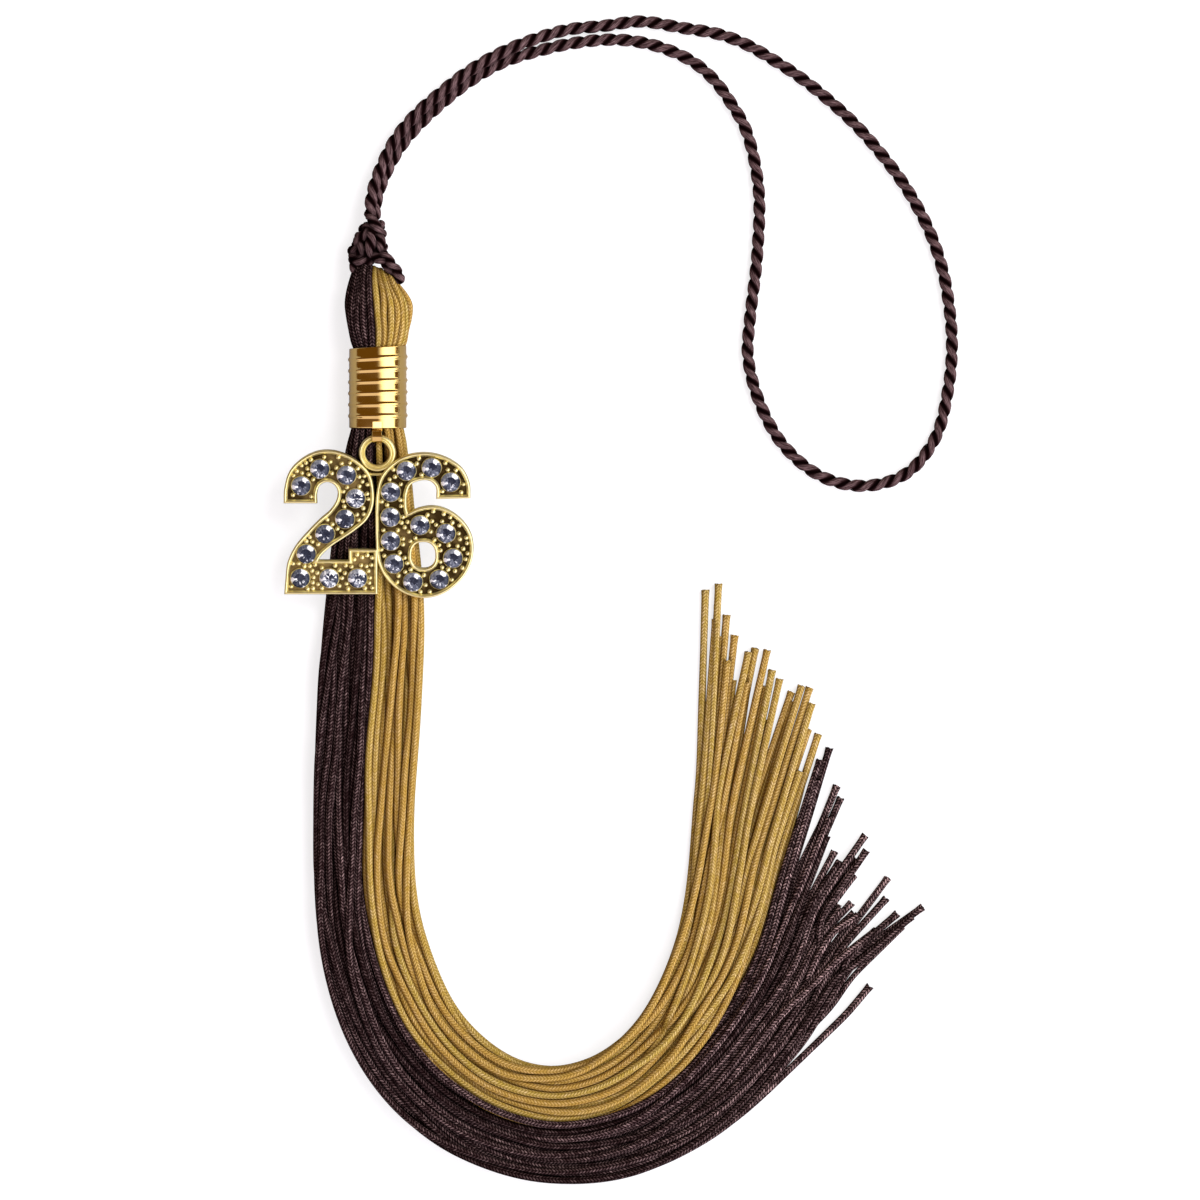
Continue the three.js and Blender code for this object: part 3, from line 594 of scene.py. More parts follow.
def skirt_courses(chance):
    """Where each strand lies at each cross section."""
    stations, stops = band_stations()
    lanes = np.concatenate([(np.arange(count) + 0.5) / count for count in STRAND_COUNTS])
    sides = np.repeat([-1, -1, 1, 1], STRAND_COUNTS)
    under = np.repeat([0, 1, 0, 1], STRAND_COUNTS)
    waves = [[wave(chance) for _ in range(3)] for _ in lanes]
    waves[LONE_STRAND] = [(0.05, 0.0, 0.1)]
    crowd = np.arange(len(lanes)) != LONE_STRAND
    across = sides * lanes * 3.2 - 0.3
    lifts = np.array([chance.uniform(-1, 1) for _ in lanes])
    height = AXIS_HEIGHT + lifts * 3.2 * np.sqrt(1 - lanes**2)
    laid = []
    for station, walked in zip(stations, stops):
        settled, away = station[6:]
        outer = math.hypot(station[0] - station[2], station[1] - station[3])
        inner = math.hypot(station[4] - station[2], station[5] - station[3])
        drift = np.array([swayed(own, walked) for own in waves])
        room = crowd * (max(away, 0.0) + 2 * STRAND_RADIUS * (away > 0.1))
        wish = np.where(sides < 0, -lanes * (outer - room), lanes * inner)
        wish = wish + drift * (0.2 + settled) * (1 - 0.6 * under)
        radii = strand_thickness(walked) * np.where(under, UNDER_SHARE, 1.0)
        least = np.where(sides < 0, room - outer, -0.1)
        most = np.where(sides < 0, 0.1, inner)
        for _ in range(1 if laid else 3):
            across, height = settle_strands(
                across, height, wish, least, most, settled, (-outer, inner), radii, under
            )
        laid.append(np.stack([across, height], axis=1))
    laid = np.array(laid)
    for _ in range(2):
        laid[1:-1] = 0.25 * laid[:-2] + 0.5 * laid[1:-1] + 0.25 * laid[2:]
    return stations, laid


def between(a, b, share):
    return a + (b - a) * share


def flat_run(start, end):
    """The way from one point to another as it shows from above."""
    return np.array(end[:2]) - np.array(start[:2])


def strand_tips(order, tips, ends, cut, listed, chance):
    """Each strand's tip from its place in the fan. Where the listed tips are to be used, each goes to the
    strand that lies nearest to it, and the other strands are cut shorter between them."""
    placed, nearest = {}, {}
    count = len(order)
    for i in range(len(tips) if listed else 0):
        nearest[min(range(count), key=lambda k: abs((k + 0.5) / count - (i + 0.5) / len(tips)))] = i
    for k, strand in enumerate(order):
        place = min((k + 0.5) / count * len(tips) - 0.5, len(tips) - 2.0)
        before = min(max(int(math.floor(place)), 0), len(tips) - 2)
        tip = [between(tips[before][axis], tips[before + 1][axis], place - before) for axis in range(2)]
        back = chance.uniform(*cut)
        if k in nearest:
            tip, back = tips[nearest[k]], 0.0
        start = ends[strand]
        run = math.hypot(tip[0] - start[0], tip[1] - start[1])
        back = min(back, run * 0.5)
        x, y = (tip[axis] - (tip[axis] - start[axis]) * back / run for axis in range(2))
        placed[strand] = (x, y, STRAND_RADIUS + 0.35 * (start[2] - STRAND_RADIUS))
    return placed


def cut_end(points, along, chance):
    """The end of a strand opened a little and trimmed unevenly, as shears leave it."""
    ring = points[-2 - STRAND_SIDES : -2]
    trims = np.array([[chance.uniform(-0.16, 0.12)] for _ in ring])
    ring += (ring - points[-1]) * 0.12 + along * trims
    points[-1] -= along * 0.12


def skirt_tubes(members, under, stations, laid, tips, chance):
    """The tubes and middle lines of one half of the skirt."""
    courses = {}
    for strand in (*members, *under):
        courses[strand] = []
        for station, (place, height) in zip(stations, laid[:, strand]):
            edge, split = station[0:2] if place < 0 else station[4:6], station[2:4]
            share = abs(place) / math.hypot(*(edge - split))
            courses[strand].append((*between(split, edge, share), height))
    ends = {strand: course[-1] for strand, course in courses.items()}
    placed = {}
    for group, cut, listed in ((members, MAIN_CUT, True), (under, UNDER_CUT, False)):
        order = sorted(group, key=lambda strand: abs(laid[-1, strand, 0]))
        placed.update(strand_tips(order, tips, ends, cut, listed, chance))
    tubes, lines = [], []
    for strand, points in courses.items():
        tip = placed[strand]
        while len(points) > 4 and np.hypot(*flat_run(points[-1], tip)) < 4.0:
            points.pop()
        while len(points) > 4 and flat_run(points[-1], tip).dot(flat_run(points[-2], points[-1])) < 0:
            points.pop()
        path = smooth_line(points + [tip], STRAND_STEP)
        along = directions(path)
        side = unit(np.cross(UP, along))
        up = np.cross(along, side)
        walked = np.arange(len(path)) * STRAND_STEP
        thickness = strand_thickness(walked) * (UNDER_SHARE if strand in under else 1.0)
        plumpness = 1 + 0.03 * np.sin(walked * chance.uniform(0.2, 0.5) + chance.uniform(0, 6))
        reach = np.repeat((thickness * plumpness)[:, None], STRAND_SIDES, axis=1)
        wander = np.sin(walked * chance.uniform(0.03, 0.09) + chance.uniform(0, 6))
        turned = -math.pi / 2 + chance.gauss(0, 0.25) + 0.4 * wander
        tubes.append(tube(path, side, up, reach, chance.random(), turned))
        cut_end(tubes[-1][0], along[-1], chance)
        lines.append(path)
    return tubes, lines


STITCH = 0.54  # the length of one stitch
WALES = 3  # columns of stitches round a strand


def stitch_group():
    """Chainette stitches: rows of small Vs that run along a strand, each leg of a V a plump grain. Gives
    their height, the creases between them, and a chance number for each leg."""
    inputs = {"Fibre": None, "Stitch": STITCH, "Strand": 0.0}
    group, given, sink = new_group("chainette_stitches", inputs, ("Height", "Crease", "Leg"))
    x, y, length = shader_node(group, "ShaderNodeSeparateXYZ", {0: given["Fibre"]}).outputs
    angle = maths(group, "ARCTAN2", y, x)
    wales = product(group, maths(group, "ADD", angle, math.pi), WALES / (2 * math.pi))
    across = maths(group, "SUBTRACT", maths(group, "FRACT", wales), 0.5)
    aside = product(group, maths(group, "ABSOLUTE", across), 2.0)
    rows = maths(group, "DIVIDE", length, given["Stitch"])
    started = maths(group, "ADD", rows, product(group, given["Strand"], 17.0))
    phase = maths(group, "ADD", started, aside)
    swell = maths(group, "COSINE", product(group, phase, 2 * math.pi))
    along = maths(group, "POWER", remapped(group, swell, 1.0, -1.0), 0.7)
    leg_middle = maths(group, "SINE", product(group, aside, math.pi))
    grain = product(group, along, remapped(group, leg_middle, 0.0, 0.8, 0.15, 1.0))
    side = maths(group, "GREATER_THAN", across, 0.0)
    column = maths(group, "ADD", product(group, maths(group, "FLOOR", wales), 2.0), side)
    cell = {"X": maths(group, "FLOOR", phase), "Y": column, "Z": product(group, given["Strand"], 97.0)}
    cell_place = shader_node(group, "ShaderNodeCombineXYZ", cell).outputs[0]
    leg = shader_node(group, "ShaderNodeTexWhiteNoise", {"Vector": cell_place}, noise_dimensions="3D")
    crease = maths(group, "SUBTRACT", 1.0, grain)
    feed(group, sink, {"Height": grain, "Crease": crease, "Leg": leg.outputs["Value"]})
    return group


stitches = stitch_group()


def strand_material(name, painted_shade, body, painted_highlight, warm, crease_shade, plain_light, dimmest, loose_shine):
    """Rayon chainette: stitches, fine filaments and a slightly different dye on each strand. A painted
    highlight lies on the middles of the stitches' legs, brighter toward the loose ends, and painted shade
    darkens the creases between the legs and the gaps between strands."""
    material, tree, shader = new_material(name)
    fibre = attribute(tree, "fibre", "Vector")
    tint = attribute(tree, "tint")
    knit = placed_group(tree, stitches, {"Fibre": fibre, "Stitch": STITCH, "Strand": tint})
    apart = {"X": product(tree, tint, 31.0), "Y": product(tree, tint, 57.0)}
    apart_place = shader_node(tree, "ShaderNodeCombineXYZ", apart).outputs[0]
    own = shader_node(tree, "ShaderNodeVectorMath", {0: fibre, 1: apart_place}, operation="ADD").outputs[0]
    lines = placed_group(tree, filaments, {"Fibre": own, "Fineness": 6.0})
    walked = shader_node(tree, "ShaderNodeSeparateXYZ", {0: fibre}).outputs["Z"]
    # share of painted highlight: lower on dimmer strands, between filament streaks and off the stitches'
    # legs, higher toward the loose ends
    share = product(
        tree,
        remapped(tree, tint, 0.0, 0.8, dimmest, 1.0),
        remapped(tree, lines["Height"], 0.3, 0.7, 0.55, 1.0),
        remapped(tree, lines["Patches"], 0.32, 0.68, 0.35, 1.0),
        remapped(tree, walked, 145.0, 190.0, 1.0, loose_shine),
        remapped(tree, knit["Height"], 0.25, 0.95, plain_light, 1.0),
        remapped(tree, knit["Leg"], 0.0, 1.0, plain_light, 1.0),
    )
    lit = blended(tree, share, blended(tree, tint, body, warm), painted_highlight)
    # painted shade: darker in the creases between the stitches' legs and, by the crevice depth, in the gaps
    # between strands
    creased = blended(tree, remapped(tree, knit["Crease"], 0.35, 1.0, 0.0, crease_shade), lit, painted_shade)
    gap_shade = product(tree, attribute(tree, "crevice"), 0.92)
    height = maths(tree, "ADD", knit["Height"], product(tree, lines["Height"], 0.25))
    feed(tree, shader, {
        "Base Color": blended(tree, gap_shade, creased, painted_shade),
        "Normal": relief(tree, height, distance=0.0001),
        "Roughness": remapped(tree, lines["Height"], 0.3, 0.7, 0.6, 0.42),
        "Specular IOR Level": 0.0,
    })
    return material


dark_chainette = strand_material(
    "dark_chainette",
    painted_shade=(0.0018, 0.0005, 0.0004, 1), body=(0.014, 0.0055, 0.0056, 1),
    painted_highlight=(0.490, 0.328, 0.308, 1), warm=(0.024, 0.0095, 0.0105, 1),
    crease_shade=0.95, plain_light=0.08, dimmest=0.3, loose_shine=2.2,
)
gold_chainette = strand_material(
    "gold_chainette",
    painted_shade=(0.085, 0.034, 0.002, 1), body=(0.47, 0.27, 0.040, 1),
    painted_highlight=(0.79, 0.585, 0.305, 1), warm=(0.44, 0.305, 0.032, 1),
    crease_shade=0.6, plain_light=0.4, dimmest=0.7, loose_shine=1.3,
)

skirt_ends = np.cumsum(STRAND_COUNTS).tolist()
dark_main, dark_low, gold_main, gold_low = (range(a, b) for a, b in zip([0] + skirt_ends, skirt_ends))
skirt_laid = skirt_courses(random.Random(7))
dark_tubes, dark_lines = skirt_tubes(dark_main, dark_low, *skirt_laid, DARK_TIPS, random.Random(11))
gold_tubes, gold_lines = skirt_tubes(gold_main, gold_low, *skirt_laid, GOLD_TIPS, random.Random(23))
skirt_gaps = crevices(dark_tubes + gold_tubes, dark_lines + gold_lines, open_at=0.84, reach=0.5)
dark_skirt = yarn_object("dark_skirt", dark_tubes, dark_chainette, skirt_gaps[: len(dark_tubes)])
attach(dark_skirt, "tassel")
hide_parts("dark_strands")
gold_skirt = yarn_object("gold_skirt", gold_tubes, gold_chainette, skirt_gaps[len(dark_tubes) :])
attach(gold_skirt, "tassel")
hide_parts("gold_strands")

# Head: the middle of the strands, folded over the eye of the cord and pulled down into the ferrule, so that
# they swell above it. The dark strands lie on the left and the gold ones on the right.
HEAD_PROFILE = [  # distance along the tassel, middle x, half width, half height
    (5.6, 0.0, 3.75, 3.75), (7.0, 0.1, 3.95, 3.9), (8.2, 0.2, 4.5, 4.15), (10.2, 0.15, 5.0, 4.3),
    (12.2, 0.08, 5.25, 4.3), (14.2, 0.03, 5.25, 4.25), (16.0, -0.12, 4.8, 4.0), (17.6, -0.35, 4.2, 3.3),
    (18.8, -0.5, 3.7, 2.5), (19.5, -0.6, 3.3, 1.5), (19.8, -0.7, 3.1, 0.5),
]
LOOP_RADIUS = 0.56
INNER_DEPTH, INNER_TURN = 0.9, 7  # how far in the second layer lies, and how many degrees it is turned
DARK_ANGLES = [-84, -70, -56, -42, -28, -14]  # about the tassel's line, from the left side to the split
GOLD_ANGLES = [1, 14, 27, 41, 55, 70, 85]


def held(value, low=0.0, high=1.0):
    return max(low, min(high, value))


def head_loop(degrees, depth, chance):
    """A strand that runs up the front of the head, over the fold and down its back."""
    angle = math.radians(degrees + chance.uniform(-1.5, 1.5))
    sway, phase, rate = chance.uniform(0.05, 0.3), chance.uniform(0, 6.3), chance.uniform(0.35, 0.7)
    depth += chance.uniform(0.0, 0.22)
    front, back = [], []
    for y, middle, width, height in HEAD_PROFILE:
        aside = held((y - 7.5) / 3) * sway * math.sin(rate * y + phase)
        x = middle + (width - LOOP_RADIUS - depth) * math.sin(angle) + aside
        lift = max(height - LOOP_RADIUS - depth, 0.0) * math.cos(angle)
        slope = 0.35 * (held(x, -2.2, 2.2) + 0.3) * held((y - 14) / 5)
        crest = y - depth * 0.8 * (y > 12) - slope
        front.append((x, crest, AXIS_HEIGHT + lift))
        back.append((x, crest - 0.01, AXIS_HEIGHT - lift))
    path = smooth_line(front + back[::-1][1:], 0.5)
    side, up = carried_frames(path)
    reach = np.full((len(path), STRAND_SIDES), LOOP_RADIUS)
    turned = np.full(len(path), -math.pi / 2 - angle + chance.gauss(0, 0.3))
    return tube(path, side, up, reach, chance.random(), turned), path


head_chance = random.Random(9)
head_loops = []
for angles in (DARK_ANGLES, GOLD_ANGLES):
    head_loops += [head_loop(degrees, 0.0, head_chance) for degrees in angles]
    head_loops += [head_loop(degrees + INNER_TURN, INNER_DEPTH, head_chance) for degrees in angles[:-1]]
head_tubes, head_lines = zip(*head_loops)
head_gaps = crevices(head_tubes, head_lines, open_at=0.9, reach=0.52)
first_gold = 2 * len(DARK_ANGLES) - 1
head_halves = (
    ("dark_head", slice(0, first_gold), dark_chainette, "dark_yarn"),
    ("gold_head", slice(first_gold, None), gold_chainette, "gold_yarn"),
)
for name, half, yarn, slot in head_halves:
    head = yarn_object(name, head_tubes[half], yarn, head_gaps[half])
    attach(head, "tassel")

# Ferrule: a tube of thin gold-plated brass with six rolled ribs, pressed round the strands. A narrow tongue
# is cut from its lower edge and bent forward and round to hold the charm's ring.
SLEEVE_LOW, SLEEVE_HIGH = -5.5, 7.4
SLEEVE_RADIUS, SLEEVE_BORE, SLEEVE_OVAL = 4.4, 4.0, 1.035
SLEEVE_LIP = [(0.1, 0.0), (0.02, 0.08), (0.0, 0.2)]  # how far in and how far along its rounded edges run
RIB_COUNT, RIB_PITCH, RIB_RISE, RIB_HALF, FIRST_RIB = 6, 1.832, 0.2, 0.5, -3.53
LATHE_SIDES = 96


def spokes(count, turn=0.0):
    """The cosines and sines of evenly spaced directions."""
    angles = [turn + 2 * math.pi * k / count for k in range(count)]
    return [(math.cos(angle), math.sin(angle)) for angle in angles]


def turned_over(faces):
    return [face[:1] + face[:0:-1] for face in faces]


def lathe(profile, sides):
    """A solid of revolution about the tassel's line from points of reach and distance along it. The rolled
    ribs run a little askew, more so toward the head."""
    verts = []
    for cosine, sine in spokes(sides):
        for reach, y in profile:
            across, lift = SLEEVE_OVAL * reach * cosine, reach * sine
            askew = 0.06 * across * (y - SLEEVE_LOW) / (SLEEVE_HIGH - SLEEVE_LOW) - 0.05 * lift
            verts.append((across, y + askew, max(AXIS_HEIGHT + lift, 0.01)))
    return verts, turned_over(skin(sides, len(profile), closed=True))


def wear_group():
    """Light handling marks on plated metal: a roughness and a soft tarnish mask."""
    group, given, sink = new_group("plating_wear", {"Scale": 400.0}, ("Roughness", "Tarnish"))
    place = shader_node(group, "ShaderNodeTexCoord").outputs["Object"]
    feed(group, sink, {
        "Roughness": remapped(group, noise(group, given["Scale"], 4.0, place), 0.3, 0.7),
        "Tarnish": remapped(group, noise(group, 160.0, 2.0, place), 0.4, 0.75),
    })
    return group


plating_wear = wear_group()


def plating(tree, bright, dull, smoothest, roughest):
    """The colour and the roughness of gold plating."""
    wear = placed_group(tree, plating_wear, {})
    colour = blended(tree, wear["Tarnish"], bright, dull)
    return colour, remapped(tree, wear["Roughness"], 0, 1, smoothest, roughest)


SLEEVE_BRIGHT, SLEEVE_DULL = (0.86, 0.60, 0.20, 1), (0.80, 0.53, 0.15, 1)
polished_gold, sleeve_tree, sleeve_shader = new_material("polished_gold")
sleeve_colour, sleeve_roughness = plating(
    sleeve_tree, SLEEVE_BRIGHT, SLEEVE_DULL, smoothest=0.10, roughest=0.19
)
feed(sleeve_tree, sleeve_shader, {
    "Base Color": sleeve_colour,
    "Roughness": sleeve_roughness,
    "Metallic": 1.0,
    "Coat Weight": 0.1,
})

sleeve_profile = [(SLEEVE_RADIUS - inward, SLEEVE_LOW + along) for inward, along in SLEEVE_LIP]
for rib in range(RIB_COUNT):
    middle = FIRST_RIB + rib * RIB_PITCH
    for step in range(-6, 7):
        rise = RIB_RISE * (0.5 + 0.5 * math.cos(math.pi * step / 6))
        sleeve_profile.append((SLEEVE_RADIUS + rise, middle + step / 6 * RIB_HALF))
    if rib < RIB_COUNT - 1:
        sleeve_profile.append((SLEEVE_RADIUS + 0.025, middle + RIB_PITCH / 2))
sleeve_profile += [(SLEEVE_RADIUS - inward, SLEEVE_HIGH - along) for inward, along in reversed(SLEEVE_LIP)]
sleeve_profile += [(SLEEVE_BORE + 0.1, SLEEVE_HIGH), (SLEEVE_BORE, SLEEVE_HIGH - 0.1)]
sleeve_profile += [(SLEEVE_BORE, SLEEVE_LOW + 0.1), (SLEEVE_BORE + 0.1, SLEEVE_LOW)]
sleeve = mesh_object("ferrule_sleeve", *lathe(sleeve_profile, LATHE_SIDES), polished_gold)
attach(sleeve, "tassel")
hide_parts("ferrule")

HINGE = (0.15, -7.0, 9.1)
HOOK_RADIUS = 0.93
TONGUE_HALF_WIDTH, TONGUE_HALF_THICKNESS, TONGUE_CORNER = 0.78, 0.13, 0.065
TONGUE_LEAN = 0.2  # how much the tongue's foot follows the sleeve's round side
tongue_line = [(-4.7, 8.97), (-5.1, 8.97), (-5.5, 8.93), (-5.85, 8.92)]
for step in range(13):
    angle = math.radians(30 + step / 12 * 185)
    tongue_line.append((HINGE[1] + HOOK_RADIUS * math.cos(angle), HINGE[2] + HOOK_RADIUS * math.sin(angle)))


def capped_skin(rows, sides):
    """Faces between rings of points, with both ends closed."""
    return skin(rows, sides) + [tuple(range(sides))[::-1], tuple(range((rows - 1) * sides, rows * sides))]


def tongue_strip(line):
    """The bent strip of sheet metal with eased edges, from its side view in Y and Z."""
    line = smooth_line([(0, y, z) for y, z in line], 0.12)
    along = directions(line)
    wide, narrow = TONGUE_HALF_WIDTH, TONGUE_HALF_WIDTH - TONGUE_CORNER
    thick, thin = TONGUE_HALF_THICKNESS, TONGUE_HALF_THICKNESS - TONGUE_CORNER
    section = [
        (-wide, -thin), (-narrow, -thick), (narrow, -thick), (wide, -thin),
        (wide, thin), (narrow, thick), (-narrow, thick), (-wide, thin),
    ]
    verts = []
    for (_, y, z), (_, along_y, along_z) in zip(line, along):
        lean = TONGUE_LEAN * held((y + 6.0) / 0.4)
        for across, lift in section:
            verts.append((HINGE[0] + across, y - along_z * lift, z + along_y * lift - lean * across))
    return verts, capped_skin(len(line), len(section))


tongue = mesh_object("ferrule_tongue", *tongue_strip(tongue_line), polished_gold)
tongue.data.set_sharp_from_angle(angle=math.radians(40))
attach(tongue, "tassel")

# Charm: two numerals cast in one piece with their hanging ring, gold-plated, with a raised rim round a
# darker floor that is covered with small cast beads. It swings on the ferrule's tongue.
CHARM_TILT = math.radians(9)
RING_SLACK = 0.24
PLATE_HALF = 0.8
FLOOR_LEVEL = 0.15
TWO = [  # x, y and 1 where the outline turns sharply
    (-14.9, -10.4, 1), (-14.8, -8.1, 0), (-13.9, -5.2, 0), (-11.9, -3.2, 0), (-9.6, -2.1, 0),
    (-7.5, -1.9, 0), (-5.1, -2.5, 0), (-2.9, -3.8, 0), (-1.2, -5.7, 0), (-0.6, -8.1, 0), (-0.7, -10.8, 0),
    (-1.7, -13.0, 0), (-3.6, -14.7, 0), (-5.5, -16.0, 0), (-7.3, -17.2, 0), (-8.9, -18.6, 0),
    (-9.5, -19.5, 1), (-4.7, -19.5, 1), (-4.7, -17.7, 1), (-0.1, -17.7, 1), (-0.1, -25.0, 1),
    (-15.0, -25.0, 1), (-14.8, -22.8, 0), (-14.4, -19.8, 0), (-13.2, -17.3, 0), (-11.0, -14.7, 0),
    (-9.1, -12.8, 0), (-7.6, -11.5, 0), (-6.6, -10.0, 0), (-6.3, -8.6, 0), (-6.8, -7.5, 0),
    (-8.0, -7.0, 0), (-9.1, -7.5, 0), (-9.6, -8.8, 0), (-9.6, -10.4, 1),
]
SIX = [
    (14.7, -9.6, 1), (9.3, -9.7, 1), (9.2, -7.7, 0), (8.2, -6.8, 0), (6.6, -6.8, 0), (5.3, -7.4, 0),
    (4.7, -8.8, 0), (4.6, -10.8, 0), (4.8, -11.9, 1), (6.6, -11.1, 0), (8.9, -10.8, 0), (11.3, -11.5, 0),
    (13.5, -13.2, 0), (14.9, -15.6, 0), (15.1, -18.6, 0), (14.1, -21.4, 0), (12.2, -23.6, 0),
    (9.8, -25.1, 0), (7.1, -25.6, 0), (4.7, -25.1, 0), (2.5, -23.8, 0), (0.8, -21.8, 0), (-0.2, -19.2, 0),
    (-0.4, -16.1, 0), (-0.4, -12.3, 0), (-0.2, -8.8, 0), (0.5, -6.1, 0), (2.2, -4.1, 0), (4.4, -2.8, 0),
    (6.9, -2.3, 0), (9.3, -2.5, 0), (11.6, -3.4, 0), (13.5, -4.9, 0), (14.6, -7.3, 0),
]
COUNTER = (7.2, -18.7, 1.9, 2.1)  # the hole of the six: its middle and half sizes
COUNTER_SIDES = 48
COUNTER_SQUARENESS = 0.85  # 1 for an oval, and less the squarer it is
STONES = {
    "two": [(-12.1, -7.6), (-9.1, -4.9), (-4.9, -5.9), (-3.5, -9.6), (-5.2, -12.9), (-8.4, -15.3),
            (-11.4, -18.5), (-12.4, -22.4), (-7.8, -22.4), (-3.3, -22.4)],
    "six": [(4.6, -5.2), (8.6, -4.7), (11.6, -7.0), (2.1, -8.6), (2.0, -12.6), (2.0, -16.4),
            (2.5, -20.1), (6.7, -13.9), (10.8, -15.2), (11.9, -19.2), (5.5, -23.0), (9.7, -22.6)],
}
STONE_RADIUS = 1.52
SEAT_REACH = 1.66
RIM_SHAPE = [  # distance in from the outline and height of each line of the rim, from the back to the floor
    (0.25, -PLATE_HALF), (0.08, -0.72), (0.0, -0.55), (0.0, 0.45), (0.04, 0.62), (0.12, 0.74),
    (0.24, PLATE_HALF), (0.36, 0.75), (0.43, 0.64), (0.47, 0.54), (0.53, 0.5), (0.6, 0.4),
    (0.66, FLOOR_LEVEL),
]
RIM_WIDTH = 0.66


def on_charm(points):
    """Points drawn flat about the ring's hanging point, turned and moved to where the charm hangs."""
    x, y, z = np.asarray(points, float).T
    cosine, sine = math.cos(CHARM_TILT), math.sin(CHARM_TILT)
    hung = y - RING_SLACK
    return np.stack([x, hung * cosine - z * sine, hung * sine + z * cosine], axis=1) + HINGE


def rounded_outline(table, step=0.22):
    """Evenly spaced points round a closed outline, smooth except at its sharp corners."""
    corners = [i for i, (_, _, sharp) in enumerate(table) if sharp]
    outline = []
    for start, end in zip(corners, corners[1:] + [corners[0] + len(table)]):
        run = [table[i % len(table)][:2] + (0.0,) for i in range(start, end + 1)]
        outline.extend(smooth_line(run, step)[:-1, :2])
    return np.array(outline)


def winding(outline):
    """1 for an outline that runs anticlockwise and -1 for one that runs clockwise."""
    following = np.roll(outline, -1, axis=0)
    return np.sign(np.sum(outline[:, 0] * following[:, 1] - following[:, 0] * outline[:, 1]))


def offset_outline(outline, distance):
    """The outline moved inward, each point along the line between its neighbours' normals."""
    arriving = unit(outline - np.roll(outline, 1, axis=0))
    leaving = unit(np.roll(outline, -1, axis=0) - outline)
    normal_in, normal_out = (np.stack([-run[:, 1], run[:, 0]], axis=1) for run in (arriving, leaving))
    bisector = unit(normal_in + normal_out)
    stretch = np.maximum(np.sum(bisector * normal_in, axis=1), 0.5)[:, None]
    return outline + bisector * winding(outline) * distance / stretch


def numeral(outline, hole=None):
    """Points and faces of one numeral: its rim round the outline and the hole, its floor and its back."""
    verts, faces, backs, floors = [], [], [], []
    for loop, inward in ((outline, 1), (hole, -1)):
        if loop is None:
            continue
        first = len(verts)
        for distance, height in RIM_SHAPE:
            verts.extend((x, y, height) for x, y in offset_outline(loop, distance * inward))
        walls = skin(len(RIM_SHAPE), len(loop), first)
        faces += walls if winding(loop) == inward else [wall[::-1] for wall in walls]
        backs.append(range(first, first + len(loop)))
        floors.append(range(len(verts) - len(loop), len(verts)))
    for loops, upward in ((backs, False), (floors, True)):
        flat = [index for loop in loops for index in loop]
        for corners in tessellate_polygon([[verts[i] for i in loop] for loop in loops]):
            a, b, c = (flat[corner] for corner in corners)
            turn = (verts[b][0] - verts[a][0]) * (verts[c][1] - verts[a][1])
            turn -= (verts[b][1] - verts[a][1]) * (verts[c][0] - verts[a][0])
            faces.append((a, b, c) if (turn > 0) == upward else (c, b, a))
    return verts, faces


def turned_ring(shape, middle_x, middle_y, sides):
    """A ring about an upright line, from points of reach and height."""
    verts = []
    for cosine, sine in spokes(sides):
        verts += [(middle_x + reach * cosine, middle_y + reach * sine, z) for reach, z in shape]
    return verts, skin(sides, len(shape), closed=True)


two_outline = rounded_outline(TWO)
six_outline = rounded_outline(SIX)
counter_spokes = np.array(spokes(COUNTER_SIDES))
counter_shape = np.sign(counter_spokes) * np.abs(counter_spokes) ** COUNTER_SQUARENESS
counter_outline = np.array(COUNTER[:2]) + np.array(COUNTER[2:]) * counter_shape

BEAD_RADIUS = 0.40
BEAD_SIDES = 12
BEAD_DOME = [(0.45, 1.0), (0.78, 0.72), (0.97, 0.3), (1.0, -0.15)]  # reach and lift of its rings
BEAD_TRIES = 7000
UNDER_RIM, UNDER_SEAT = 0.18, 0.08  # how far beads may run under the rim and under a stone's seat


def inside(point, outline):
    """Whether a place lies inside a closed outline, and its distance from it."""
    x, y = point
    ahead = np.roll(outline, -1, axis=0)
    crosses = (outline[:, 1] > y) != (ahead[:, 1] > y)
    slope = np.where(ahead[:, 1] == outline[:, 1], 1.0, ahead[:, 1] - outline[:, 1])
    where = outline[:, 0] + (y - outline[:, 1]) / slope * (ahead[:, 0] - outline[:, 0])
    nearest = float(np.min(np.hypot(outline[:, 0] - x, outline[:, 1] - y)))
    return bool(np.sum(crosses & (x < where)) % 2), nearest


def bead_places(outline, hole, stones, chance, spacing, loosest):
    """Places for beads on a numeral's floor: the closest to the rims and the stones' seats first, at least a
    spacing apart, and none farther than loosest from them."""
    wishes = []
    low, high = outline.min(axis=0), outline.max(axis=0)
    for _ in range(BEAD_TRIES):
        point = (chance.uniform(low[0], high[0]), chance.uniform(low[1], high[1]))
        within, edge = inside(point, outline)
        if not within:
            continue
        if hole is not None:
            through, rim = inside(point, hole)
            if through:
                continue
            edge = min(edge, rim)
        room = edge - RIM_WIDTH + UNDER_RIM - BEAD_RADIUS
        seat = min(math.dist(point, stone) for stone in stones) - SEAT_REACH + UNDER_SEAT - BEAD_RADIUS
        if room < 0 or seat < 0:
            continue
        wishes.append((min(room, seat) + 0.12 * chance.random(), point))
    places = []
    for loose, point in sorted(wishes):
        if loose < loosest and all(math.dist(point, place) > spacing for place in places):
            places.append(point)
    return places


def level_ring(x, y, z, reach, sides, turn=0.0):
    return [(x + reach * cosine, y + reach * sine, z) for cosine, sine in spokes(sides, turn)]


